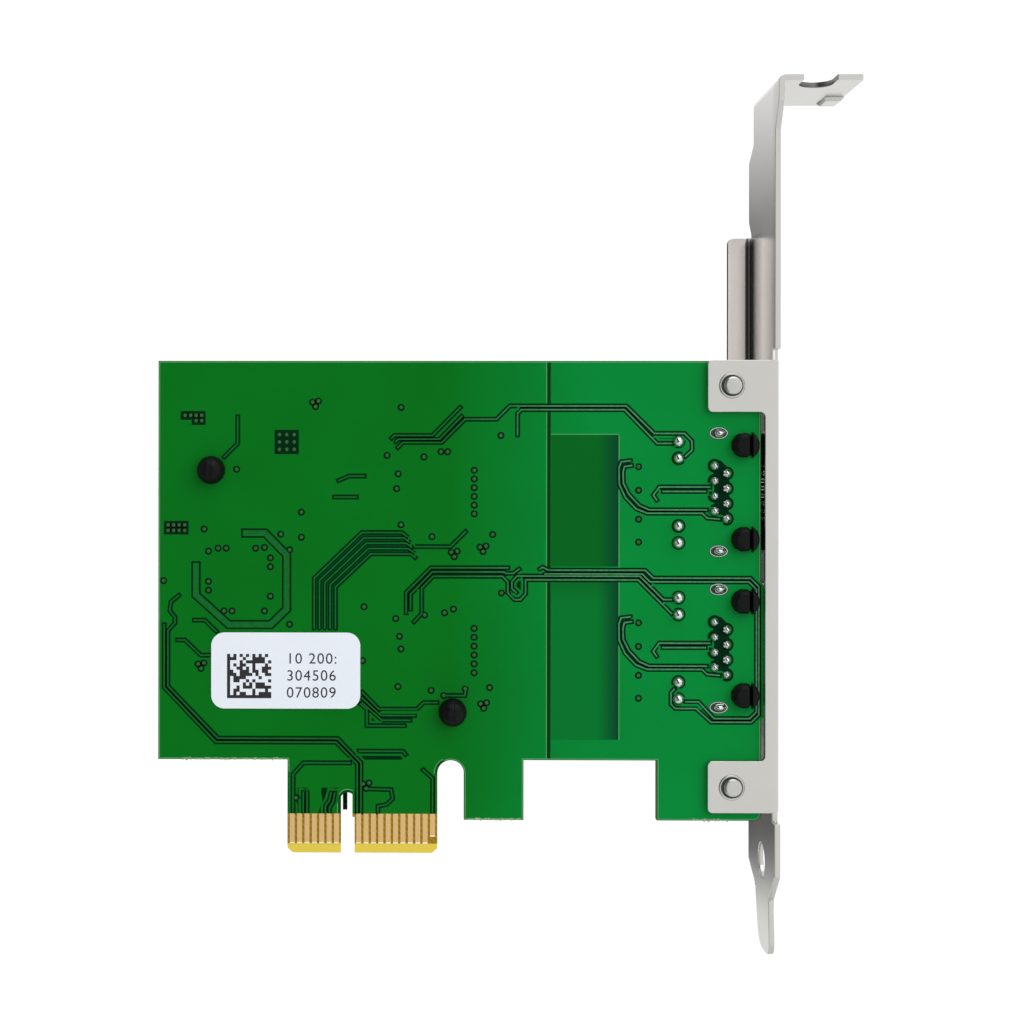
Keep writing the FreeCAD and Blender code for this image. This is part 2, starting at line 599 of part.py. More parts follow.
# ---------------------------------------------------------------- bracket
def bracket():
    """One folded steel sheet: plate, top flange, tongue, wing, and a lip with two tabs."""
    bend = BEND_R + SHEET_T
    near_bend = PLATE_NEAR + bend
    far_bend = PLATE_FAR - bend
    near_relief = near_bend + RELIEF_DEPTH
    far_relief = far_bend - RELIEF_DEPTH
    upper_near = PLATE_NEAR - UPPER_SHIFT
    upper_far = upper_near + UPPER_W
    flange_bend = FLANGE_TOP - SHEET_T - FLANGE_BEND_R
    tongue_near = PLATE_NEAR + TONGUE_SIDE
    tongue_far = tongue_near + TONGUE_W
    sheet = (PLATE_IN, PLATE_OUT)
    plate = plate_yz([
        (tongue_near, SHOULDER_END),
        (PLATE_NEAR, SHOULDER_NEAR),
        (PLATE_NEAR, LIP_BOTTOM - RELIEF_H),
        (near_relief, LIP_BOTTOM - RELIEF_H),
        (near_relief, LIP_BOTTOM),
        (near_bend, LIP_BOTTOM),
        (near_bend, LIP_TOP),
        (near_relief, LIP_TOP),
        (near_relief, LIP_TOP + RELIEF_H),
        (PLATE_NEAR, LIP_TOP + RELIEF_H),
        (PLATE_NEAR, UPPER_NEAR_START),
        (upper_near, UPPER_NEAR_START + UPPER_NEAR_RISE),
        (upper_near, flange_bend),
        (upper_far, flange_bend),
        (upper_far, UPPER_FAR_START + UPPER_FAR_RISE),
        (PLATE_FAR, UPPER_FAR_START),
        (PLATE_FAR, WING_TOP + WING_RUN_OUT),
        (far_relief, WING_TOP + RELIEF_DEPTH),
        (far_relief, WING_TOP),
        (far_bend, WING_TOP),
        (far_bend, LIP_BOTTOM),
        (far_relief, LIP_BOTTOM),
        (far_relief, LIP_BOTTOM - RELIEF_H),
        (PLATE_FAR, LIP_BOTTOM - RELIEF_H),
        (PLATE_FAR, SHOULDER_FAR),
        (tongue_far, SHOULDER_END),
    ], sheet)
    tip_in = (TONGUE_W - TONGUE_TIP_W) / 2
    tongue = plate_yz([
        (tongue_near, SHOULDER_END + SHEET_T),
        (tongue_far, SHOULDER_END + SHEET_T),
        (tongue_far, SHOULDER_END),
        (tongue_far - tip_in, TONGUE_TIP, TONGUE_TIP_W / 3),
        (tongue_near + tip_in, TONGUE_TIP, TONGUE_TIP_W / 3),
        (tongue_near, SHOULDER_END),
    ], sheet)
    tongue.rotate(Vector(PLATE_OUT, 0, SHOULDER_END), Vector(0, 1, 0), -TONGUE_TILT)
    flange_end = PLATE_IN + FLANGE_L
    flange_start = PLATE_OUT + FLANGE_BEND_R
    flange_y = (upper_near, upper_far)
    flange_z = (FLANGE_TOP - SHEET_T, FLANGE_TOP)
    flange = plate_xy([
        (flange_start, upper_near),
        (flange_end, upper_near, SHEET_T),
        (flange_end, upper_far, FLANGE_CORNER_R),
        (flange_start, upper_far),
    ], flange_z)
    notch = plate_xy([
        (NOTCH_X - NOTCH_W / 2, upper_near - SHEET_T),
        (NOTCH_X + NOTCH_W / 2, upper_near - SHEET_T),
        (NOTCH_X + NOTCH_W / 2, upper_near + NOTCH_DEPTH, NOTCH_W / 2),
        (NOTCH_X - NOTCH_W / 2, upper_near + NOTCH_DEPTH, NOTCH_W / 2),
    ], flange_z)
    bead = block((flange_end - BEAD_W, flange_end),
                 (upper_far - FLANGE_CORNER_R - BEAD_L, upper_far - FLANGE_CORNER_R),
                 (flange_z[0] - BEAD_H, flange_z[0]))
    bead = bead.makeChamfer(BEAD_H * 0.8, [edge for edge in bead.Edges
                                           if edge.CenterOfMass.z < flange_z[0] - BEAD_H * 0.9])
    depth = Vector(0, flange_y[1] - flange_y[0], 0)
    flange_elbow = elbow((flange_start, flange_bend), FLANGE_BEND_R, FLANGE_BEND_R + SHEET_T, 90,
                         lambda a, b: Vector(a, upper_near, b), depth)
    lip_end = BOARD_RIGHT + LIP_GAP
    tab_end = BOARD_RIGHT - TAB_L
    bend_x = PLATE_OUT - bend
    lip = plate_xz([
        (bend_x, LIP_BOTTOM),
        (tab_end, LIP_BOTTOM, TAB_R),
        (tab_end, LIP_BOTTOM + TAB_H, TAB_R),
        (lip_end, LIP_BOTTOM + TAB_H, TAB_R),
        (lip_end, LIP_TOP - TAB_H, TAB_R),
        (tab_end, LIP_TOP - TAB_H, TAB_R),
        (tab_end, LIP_TOP, TAB_R),
        (bend_x, LIP_TOP),
    ], (PLATE_NEAR, SOLDER_Y))
    lip_elbow = elbow((bend_x, near_bend), BEND_R, bend, 270,
                      lambda a, b: Vector(a, b, LIP_BOTTOM), Vector(0, 0, LIP_TOP - LIP_BOTTOM))
    wing_end = PLATE_IN - WING_L
    wing = plate_xz([
        (bend_x, LIP_BOTTOM),
        (bend_x, WING_TOP),
        (wing_end, WING_TOP, WING_R),
        (wing_end, LIP_BOTTOM, WING_R),
    ], (PLATE_FAR - SHEET_T, PLATE_FAR))
    wing_elbow = elbow((bend_x, far_bend), BEND_R, bend, 0,
                       lambda a, b: Vector(a, b, LIP_BOTTOM), Vector(0, 0, WING_TOP - LIP_BOTTOM))
    body = joined([plate, tongue, flange, bead, flange_elbow, lip, lip_elbow, wing, wing_elbow])
    hole_y = (tongue_near + tongue_far) / 2
    cuts = [notch]
    cuts.append(Part.makeCylinder(TONGUE_HOLE_R, 3 * SHEET_T,
                                  Vector(PLATE_IN - SHEET_T, hole_y, TONGUE_HOLE_Z), Vector(1, 0, 0)))
    for z in JACKS.values():
        cuts.append(block((PLATE_IN - SHEET_T, PLATE_OUT + SHEET_T),
                          (COMPONENT_Y - PANEL_FIT, JACK_TOP + PANEL_FIT),
                          around(z, JACK_W + 2 * PANEL_FIT)))
    for z in SCREWS.values():
        bore = SCREW_R + SCREW_FIT
        cuts.append(rod(SCREW_X, z, bore, (PLATE_NEAR, SOLDER_Y)))
        cuts.append(taper(SCREW_X, z, (bore + COUNTERSINK, bore), (PLATE_NEAR, PLATE_NEAR + COUNTERSINK)))
    return body.cut(Part.makeCompound(cuts))


def bracket_screw(z):
    """Pan-head screw from the component side, through the board into the tab's thread."""
    tip_y = PLATE_NEAR
    top_y = COMPONENT_Y + SCREW_HEAD_H
    chamfer = SCREW_HEAD_H * 0.3
    screw = turned(SCREW_X, z, [
        (tip_y, SCREW_TIP_R),
        (tip_y + SCREW_R - SCREW_TIP_R, SCREW_R),
        (COMPONENT_Y, SCREW_R),
        (COMPONENT_Y, SCREW_HEAD_R),
        (top_y - chamfer, SCREW_HEAD_R),
        (top_y, SCREW_HEAD_R - chamfer),
    ], SCREW_SIDES)
    recess_y = (top_y - RECESS_DEPTH, top_y)
    recess = [block(around(SCREW_X, RECESS_L), recess_y, around(z, RECESS_W)),
              block(around(SCREW_X, RECESS_W), recess_y, around(z, RECESS_L))]
    return screw.cut(Part.makeCompound(recess))


# ---------------------------------------------------------------- jacks
def jack_window(z, margin):
    """The opening of the shield's front, as (low, high) pairs in Y and Z."""
    rim = SHIELD_FRAME + margin
    return ((COMPONENT_Y + SHIELD_LIFT + rim, JACK_TOP - rim), around(z, JACK_W - 2 * rim))


def jack_shield(z):
    """Folded tin-plated shell: front frame, roof, back and sides, springs and two board tails."""
    wide = around(z, JACK_W)
    shell = block((JACK_BACK, JACK_FRONT), (COMPONENT_Y + SHIELD_LIFT, JACK_TOP), wide)
    hollow = block((JACK_BACK + SHIELD_T, JACK_FRONT - SHIELD_T),
                   (COMPONENT_Y, JACK_TOP - SHIELD_T), around(z, JACK_W - 2 * SHIELD_T))
    window_y, window_z = jack_window(z, 0)
    window = block((JACK_FRONT - 2 * SHIELD_T, JACK_FRONT), window_y, window_z)
    shell = shell.cut(hollow).cut(window)
    spring_x = (PLATE_IN - FIT - SPRING_L, PLATE_IN - FIT - SPRING_L / 3, PLATE_IN - FIT)
    pieces = [shell]
    mid_y = (COMPONENT_Y + JACK_TOP) / 2
    for side in (1, -1):
        wall = z + side * (JACK_W / 2 - SHIELD_T / 2)
        crest = z + side * (JACK_W / 2 + SPRING_RISE)
        for level in (-1, 1):
            low = mid_y + level * SPRING_W - SPRING_W / 2
            pieces.append(plate_xz([(spring_x[0], wall), (spring_x[1], crest), (spring_x[2], wall)],
                                   (low, low + SPRING_W)))
        tail_z = z + side * (JACK_W - SHIELD_T) / 2
        pieces.append(block(around(SHIELD_PIN_X, SHIELD_PIN_W),
                            (SOLDER_Y, COMPONENT_Y + 2 * SHIELD_LIFT), around(tail_z, SHIELD_T)))
        pieces.append(plate_xy([(spring_x[0], JACK_TOP - SHIELD_T / 2),
                                (spring_x[1], JACK_TOP + SPRING_RISE),
                                (spring_x[2], JACK_TOP - SHIELD_T / 2)],
                               around(z + side * SPRING_W, SPRING_W)))
    return joined(pieces)


def led_place(z, side):
    """A light's front, as (low, high) pairs in Y and Z, beside the latch keyway."""
    window_y, window_z = jack_window(z, 0)
    low = window_z[1] - SHIELD_FRAME / 2 - LED_W if side > 0 else window_z[0] + SHIELD_FRAME / 2
    return ((window_y[1] - SHIELD_FRAME / 2 - LED_H, window_y[1] - SHIELD_FRAME / 2), (low, low + LED_W))


def led(z, side):
    """Moulded light, flush with the front of the jack."""
    led_y, led_z = led_place(z, side)
    return block((JACK_FRONT - LED_L, JACK_FRONT), led_y, led_z)


def led_leads(z, margin):
    """Four leads that run back under the shield's roof and down through the board."""
    width = PIN_T + 2 * margin
    leads = []
    for x, pin_z in led_pins(z):
        side = 1 if pin_z > z else -1
        led_y = led_place(z, side)[0]
        level = (led_y[0] + led_y[1]) / 2
        bottom = COMPONENT_Y if margin else SOLDER_Y
        points = [Vector(JACK_FRONT - LED_L, level, pin_z - width / 2),
                  Vector(x, level, pin_z - width / 2),
                  Vector(x, bottom, pin_z - width / 2)]
        leads.append(ribbon(points, width, Vector(0, 0, width)))
    return leads


def jack_contacts(z, margin):
    """Eight spring contacts: a tail through the board, a run to the front, and a sloping blade."""
    thick = PIN_T + 2 * margin
    wide = PIN_W + 2 * margin
    run_y = COMPONENT_Y + PIN_T
    rise_x = JACK_FRONT - SHIELD_FRAME - PIN_T
    blade_x = JACK_FRONT - CAVITY_L * 0.7
    contacts = []
    for x, pin_z in jack_pins(z):
        bottom = COMPONENT_Y if margin else SOLDER_Y
        points = [
            Vector(x, bottom, pin_z - wide / 2),
            Vector(x, run_y, pin_z - wide / 2),
            Vector(rise_x, run_y, pin_z - wide / 2),
            Vector(rise_x, COMPONENT_Y + CAVITY_FLOOR + PIN_T, pin_z - wide / 2),
            Vector(blade_x, COMPONENT_Y + CAVITY_FLOOR + CAVITY_H / 2, pin_z - wide / 2),
        ]
        contacts.append(ribbon(points, thick, Vector(0, 0, wide)))
    return contacts


def jack_housing(z):
    """Moulded insert: stepped plug cavity, comb floor, light pockets, and two split board pegs."""
    clear = SHIELD_T + FIT
    body = block((JACK_BACK + clear, JACK_FRONT - clear), (COMPONENT_Y, JACK_TOP - clear),
                 around(z, JACK_W - 2 * clear))
    window_y, window_z = jack_window(z, FIT)
    nose = block((JACK_FRONT - clear, JACK_FRONT), window_y, window_z)
    floor = COMPONENT_Y + CAVITY_FLOOR
    deep = (JACK_FRONT - CAVITY_L, JACK_FRONT)
    cuts = [
        block(deep, (floor, floor + CAVITY_H), around(z, CAVITY_W)),
        block(deep, (floor, floor + CAVITY_H + LATCH_H), around(z, LATCH_W)),
        block(deep, (floor, floor + CAVITY_H + LATCH_H + KEYWAY_H), around(z, KEYWAY_W)),
    ]
    comb_x = (PIN_FRONT_X - PIN_STAGGER - PIN_T, JACK_FRONT - SHIELD_FRAME)
    for x, pin_z in jack_pins(z):
        cuts.append(block(comb_x, (COMPONENT_Y, floor), around(pin_z, PIN_W + 2 * FIT)))
    for side in (1, -1):
        led_y, led_z = led_place(z, side)
        cuts.append(block((JACK_FRONT - LED_L - FIT, JACK_FRONT), led_y, led_z))
    cuts += led_leads(z, FIT)
    pieces = [body, nose]
    tip = SOLDER_Y - PEG_TIP_L
    catch = SOLDER_Y - PEG_TIP_L + PEG_BARB_L
    for x, peg_z in pegs(z):
        slot = around(x + PEG_SLOT_OFFSET, PEG_SLOT)
        depth = around(peg_z, 3 * PEG_R)
        post = [(tip, PEG_R - PEG_BARB), (tip + PEG_BARB, PEG_R), (COMPONENT_Y + FIT, PEG_R)]
        barb = [(tip, PEG_R), (catch, PEG_R + PEG_BARB), (SOLDER_Y, PEG_R)]
        pieces.append(turned(x, peg_z, post, PEG_SIDES))
        side = block((slot[1], slot[1] + PEG_R), (tip, SOLDER_Y), depth)
        pieces.append(turned(x, peg_z, barb, PEG_SIDES).common(side))
        cuts.append(block(slot, (tip, SOLDER_Y), depth))
    return joined(pieces).cut(Part.makeCompound(cuts))


# ---------------------------------------------------------------- heatsink
def heatsink():
    """Extruded aluminium heatsink with plain fins, cut back round its two push pins."""
    side_x = around(SINK_X, SINK_SIZE)
    side_z = around(SINK_Z, SINK_SIZE)
    pieces = [block(side_x, (SINK_Y, SINK_Y + SINK_BASE_T), side_z)]
    step = (SINK_SIZE - FIN_T) / (FIN_COUNT - 1)
    for i in range(FIN_COUNT):
        x = side_x[0] + step * i
        pieces.append(block((x, x + FIN_T), (SINK_Y + SINK_BASE_T, SINK_Y + SINK_H), side_z))
    cuts = []
    for place in PUSH_PINS.values():
        cuts.append(rod(*place, PUSH_PIN_R + PUSH_PIN_FIT, (SINK_Y, SINK_Y + SINK_BASE_T)))
        cuts.append(rod(*place, POCKET_R, (SINK_Y + SINK_BASE_T, SINK_Y + SINK_H)))
    return joined(pieces).cut(Part.makeCompound(cuts))


def push_pin(place):
    """Nylon pin: flat head, shank through heatsink and board, and a split barb behind the board."""
    head_y = SINK_Y + SINK_BASE_T + SPRING_H
    tip_y = SOLDER_Y - BARB_L
    pin = turned(*place, [
        (tip_y, BARB_TIP_R),
        (tip_y + BARB_DOME_L, BARB_DOME_R),
        (SOLDER_Y, BARB_R),
        (SOLDER_Y, PUSH_PIN_R),
        (head_y, PUSH_PIN_R),
        (head_y, PUSH_HEAD_R),
        (head_y + PUSH_HEAD_T, PUSH_HEAD_R),
    ], PUSH_PIN_SIDES)
    slot = block(around(place[0], BARB_SLOT), (tip_y, SOLDER_Y), around(place[1], 3 * BARB_R))
    return pin.cut(slot)


def push_pin_spring(place):
    """Coil spring between the heatsink and the head of its push pin."""
    count = SPRING_TURNS * SPRING_STEPS
    rise = (SPRING_H - SPRING_WIRE) / count
    low = SINK_Y + SINK_BASE_T + SPRING_WIRE / 2
    up = Vector(0, SPRING_WIRE / 2, 0)
    sections = []
    for i in range(count + 1):
        turn = 2 * math.pi * i / SPRING_STEPS
        out = Vector(math.cos(turn), 0, math.sin(turn))
        middle = Vector(place[0], low + rise * i, place[1]) + out * SPRING_R
        side = out * (SPRING_WIRE / 2)
        corners = [middle + side, middle + up, middle - side, middle - up]
        sections.append(Part.makePolygon(corners + corners[:1]))
    return Part.makeLoft(sections, True, True)


def chip(place, base_y, height):
    """A ball-grid package: thin substrate with a moulded cap set in from its edge."""
    x, z, size = place
    cap = size - 2 * STAND_OFF * 5
    return joined([
        block(around(x, size), (base_y, base_y + height / 3), around(z, size)),
        block(around(x, cap), (base_y + height / 3, base_y + height), around(z, cap)),
    ])


# ---------------------------------------------------------------- small parts
def gull_leads(x, z, half_body, height, count, pitch):
    """Bent leads in two rows, one each side of a moulded body."""
    leads = []
    level = COMPONENT_Y + height / 2
    foot = COMPONENT_Y + LEAD_T / 2
    for side in (1, -1):
        root = x + side * (half_body + LEAD_T / 2)
        knee = x + side * (half_body + LEAD_REACH - FOOT_L)
        toe = x + side * (half_body + LEAD_REACH)
        for i in range(count):
            low = z + pitch * (i - (count - 1) / 2) - LEAD_W / 2
            points = [Vector(root, level, low), Vector(knee, foot, low), Vector(toe, foot, low)]
            leads.append(ribbon(points, LEAD_T, Vector(0, 0, LEAD_W)))
    return Part.makeCompound(leads)


def moulded(x, z, width, length, height):
    """A moulded package body, just clear of the board, with sloped upper edges."""
    draft = height / 8
    body = block(around(x, width), (COMPONENT_Y + STAND_OFF, COMPONENT_Y + height), around(z, length))
    rim = [edge for edge in body.Edges if edge.CenterOfMass.y > COMPONENT_Y + height - FIT]
    return body.makeChamfer(draft, rim)


def soldered(places, width, length, height):
    """Blocks that stand on the board at (x, z) places."""
    return Part.makeCompound([
        block(around(x, width), (COMPONENT_Y, COMPONENT_Y + height), around(z, length))
        for x, z in places])


def canned(places, width, length, height, inset):
    """Blocks with cut corners that stand on the board at (x, z) places."""
    return Part.makeCompound([
        plate_xz(cut_corners(around(x, width), around(z, length), inset),
                 (COMPONENT_Y, COMPONENT_Y + height))
        for x, z in places])


def row(start, step, count):
    return [(start[0] + step[0] * i, start[1] + step[1] * i) for i in range(count)]


# ---------------------------------------------------------------- the card
os.makedirs("parts", exist_ok=True)

export(pcb(), "pcb")
export(tracks(), "solder_side_tracks")
export(edge_contacts((SOLDER_Y - COPPER_T, SOLDER_Y), CONTACTS_TO_SLOT - 1),
       "edge_contacts_solder_side")
export(edge_contacts((COMPONENT_Y, COMPONENT_Y + COPPER_T), CONTACTS_TO_SLOT + CONTACTS_TO_END - 2),
       "edge_contacts_component_side")
export(label(), "address_label")
export(solder_joints(), "solder_joints")
export(bracket(), "bracket")
for name, z in SCREWS.items():
    export(bracket_screw(z), "bracket_screw_" + name)

for name, z in JACKS.items():
    jack = "jack_" + name + "_"
    export(jack_shield(z), jack + "shield")
    export(jack_housing(z), jack + "housing")
    export(Part.makeCompound(jack_contacts(z, 0)), jack + "contacts")
    export(led(z, 1), jack + "link_light")
    export(led(z, -1), jack + "activity_light")
    export(Part.makeCompound(led_leads(z, 0)), jack + "light_leads")

export(heatsink(), "heatsink")
for name, place in PUSH_PINS.items():
    export(push_pin(place), "push_pin_" + name)
    export(push_pin_spring(place), "push_pin_spring_" + name)
for name, place in CHIPS.items():
    export(chip(place, COMPONENT_Y, CHIP_H), name + "_chip")
    x, z, size = place
    pad = block(around(x, size - 2), (COMPONENT_Y + CHIP_H, SINK_Y), around(z, size - 2))
    export(pad, name + "_thermal_pad")

for name, side in (("upper", 1), ("lower", -1)):
    z = TRANSFORMER_MID_Z + side * TRANSFORMER_PITCH / 2
    export(moulded(TRANSFORMER_X, z, TRANSFORMER_W, TRANSFORMER_L, TRANSFORMER_H),
           "transformer_" + name)
    export(gull_leads(TRANSFORMER_X, z, TRANSFORMER_W / 2, TRANSFORMER_H, TRANSFORMER_LEAD_COUNT,
                      TRANSFORMER_LEAD_PITCH), "transformer_" + name + "_leads")

flash_places = [(x, TOP_ROW_Z) for x in FLASH_X]
export(Part.makeCompound([moulded(x, z, FLASH_W, FLASH_L, FLASH_H) for x, z in flash_places]),
       "memory_chips")
export(Part.makeCompound([gull_leads(x, z, FLASH_W / 2, FLASH_H, FLASH_LEAD_COUNT, FLASH_LEAD_PITCH)
                          for x, z in flash_places]), "memory_chip_leads")
export(canned(CRYSTALS, CRYSTAL_W, CRYSTAL_L, CRYSTAL_H, CRYSTAL_CORNER), "crystals")
export(canned(INDUCTORS, INDUCTOR_W, INDUCTOR_W, INDUCTOR_H, INDUCTOR_CORNER), "power_inductors")
export(soldered(REGULATORS, REGULATOR_W, REGULATOR_L, REGULATOR_H), "voltage_regulators")
tantalums = row((TANTALUM_X, TOP_ROW_Z), (TANTALUM_PITCH, 0), TANTALUM_COUNT)
export(soldered(tantalums, TANTALUM_W, TANTALUM_L, TANTALUM_H), "tantalum_capacitors")
capacitors = row((-23.9, 20.0), (0, 4.0), 9) + row((-20.0, 57.4), (5.2, 0), 8)
capacitors += row((20.4, 34.5), (0, 2.6), 4) + row((41.4, 42.0), (0, 4.4), 4)
capacitors += row((41.4, 20.8), (0, 4.4), 4)
export(soldered(capacitors, CHIP_PART_W, CHIP_PART_L, CAPACITOR_H), "ceramic_capacitors")
resistors = row((-5.5, 9.0), (2.0, 0), 2) + row((2.5, 9.0), (2.0, 0), 5)
resistors += row((22.6, 54.0), (0, -1.9), 2) + row((22.6, 21.3), (0, 1.9), 2)
resistors += row((44.5, 62.0), (1.6, 0), 3) + row((44.0, 14.6), (1.6, 0), 3)
export(soldered(resistors, CHIP_PART_W, CHIP_PART_L, RESISTOR_H), "chip_resistors")
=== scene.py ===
import math
import random

import bmesh
import bpy
import numpy as np
from mathutils import Matrix, Vector


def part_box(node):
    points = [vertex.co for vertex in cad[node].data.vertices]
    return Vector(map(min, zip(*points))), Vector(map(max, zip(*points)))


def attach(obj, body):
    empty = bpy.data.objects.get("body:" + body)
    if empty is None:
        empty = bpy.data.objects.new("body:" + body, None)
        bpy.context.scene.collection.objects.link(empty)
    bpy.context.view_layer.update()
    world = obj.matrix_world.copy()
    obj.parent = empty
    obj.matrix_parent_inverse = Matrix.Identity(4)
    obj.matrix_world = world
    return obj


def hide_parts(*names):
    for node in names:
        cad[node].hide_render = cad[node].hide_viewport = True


# A dual-port network card. Its board stands upright with the contacts down and the solder
# side facing -Y; the folded bracket is at +X and the jacks, heatsink and chips face +Y.
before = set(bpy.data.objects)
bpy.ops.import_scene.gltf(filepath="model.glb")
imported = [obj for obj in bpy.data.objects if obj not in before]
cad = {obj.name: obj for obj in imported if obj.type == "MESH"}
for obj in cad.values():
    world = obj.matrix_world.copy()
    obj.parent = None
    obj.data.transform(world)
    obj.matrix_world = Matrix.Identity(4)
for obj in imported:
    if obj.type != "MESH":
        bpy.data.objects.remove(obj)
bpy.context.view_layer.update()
mm = 0.001


# ---- Board ----
# Glass-fibre laminate under a glossy green solder mask. Copper fills most of each face under
# the mask, parted by a slit and left out of one tall field; the contact tongue is bare.
board_low, board_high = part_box("pcb")
solder_face = board_low.y
component_face = board_high.y
mask_edge = 5.39 * mm
bevel_top = 1.35 * mm
slit_x = 27.2 * mm
slit_width = 0.48 * mm
# Width of the painted highlight along copper edges.
edge_highlight = 0.14 * mm
# Where the painted sheen starts to lighten the mask towards the bracket.
sheen_from = 14 * mm
tongue_span = (-9 * mm, 13 * mm)
bare_field = {"x": (27.5 * mm, 36.6 * mm), "z": (15.5 * mm, 56.7 * mm)}
bare_field_band = {"x": bare_field["x"], "z": (36.8 * mm, 38.9 * mm)}
bare_shade_from = 33.8 * mm
bare_turn = (38 * mm, 34 * mm)


def srgb(red, green, blue):
    """A colour given in screen values of 0 to 255, as the shaders read it."""
    parts = []
    for level in (red, green, blue):
        level /= 255
        parts.append(level / 12.92 if level <= 0.04045 else ((level + 0.055) / 1.055) ** 2.4)
    return (*parts, 1.0)


def add_node(tree, kind, inputs=None, **settings):
    """A node with its settings. An input is a value, or the socket that feeds it."""
    made = tree.nodes.new(kind)
    for key, value in settings.items():
        setattr(made, key, value)
    for key, value in (inputs or {}).items():
        if isinstance(value, bpy.types.NodeSocket):
            tree.links.new(value, made.inputs[key])
        else:
            made.inputs[key].default_value = value
    return made


def maths(tree, operation, *values):
    """The result of one maths node over numbers or sockets."""
    return add_node(tree, "ShaderNodeMath", dict(enumerate(values)), operation=operation).outputs[0]


def mixed(tree, share, first, second):
    """Two colours mixed by a share."""
    return add_node(tree, "ShaderNodeMix", {0: share, 6: first, 7: second}, data_type="RGBA").outputs[2]


def noise(tree, place, size, detail=2.0):
    """Soft noise with lumps of about this size."""
    made = add_node(tree, "ShaderNodeTexNoise", {"Vector": place, "Scale": 1 / size, "Detail": detail})
    return made.outputs["Fac"]


def spread(tree, value, low, high):
    """A share from 0 to 1 turned into a value from low to high."""
    return add_node(tree, "ShaderNodeMapRange", {0: value, 3: low, 4: high}).outputs[0]


def new_finish(name, metallic=0.0, gloss=0.5):
    """A material with one principled shader: the material, its tree, the shader, object place."""
    material = bpy.data.materials.new(name)
    material.use_nodes = True
    tree = material.node_tree
    shader = tree.nodes["Principled BSDF"]
    shader.inputs["Metallic"].default_value = metallic
    shader.inputs["Specular IOR Level"].default_value = gloss
    place = add_node(tree, "ShaderNodeTexCoord").outputs["Object"]
    return material, tree, shader, place


def relief(tree, shader, height, depth):
    """Bump of this depth, in metres, from a height share."""
    bump = add_node(tree, "ShaderNodeBump", {"Height": height, "Distance": depth})
    tree.links.new(bump.outputs[0], shader.inputs["Normal"])


def varied_finish(name, dark, light, roughness, grain, depth, metallic=0.0, patches=8, gloss=0.5):
    """A finish that wanders between two screen colours and two roughnesses: fine grain, with
    relief of this depth, over broad soft patches. The three sizes are in millimetres."""
    material, tree, shader, place = new_finish(name, metallic, gloss)
    fine = noise(tree, place, grain * mm)
    share = maths(tree, "MULTIPLY", maths(tree, "ADD", fine, noise(tree, place, patches * mm)), 0.5)
    tree.links.new(mixed(tree, share, srgb(*dark), srgb(*light)), shader.inputs["Base Color"])
    tree.links.new(spread(tree, share, *roughness), shader.inputs["Roughness"])
    relief(tree, shader, fine, depth * mm)
    return material


def within(tree, x, z, field):
    """1 inside a field of the board's face, 0 outside it."""
    inside = []
    for value, (low, high) in ((x, field["x"]), (z, field["z"])):
        inside.append(maths(tree, "COMPARE", value, (low + high) / 2, (high - low) / 2))
    return maths(tree, "MULTIPLY", *inside)


def ramp(tree, value, start, end):
    """0 before start, 1 past end, and even between."""
    return add_node(tree, "ShaderNodeMapRange", {0: value, 1: start, 2: end}).outputs[0]


def pour_colour_and_sheen(tree, x, place):
    """The mask over copper, warm green at the left; the cooler, lighter green towards the bracket is a
    painted sheen of reflected light.
    """
    broad = noise(tree, place, 14 * mm, 1.0)
    left = mixed(tree, broad, srgb(0, 102, 18), srgb(0, 117, 28))
    right = mixed(tree, broad, srgb(0, 126, 48), srgb(0, 137, 58))
    return mixed(tree, ramp(tree, x, sheen_from, slit_x + 6 * mm), left, right)


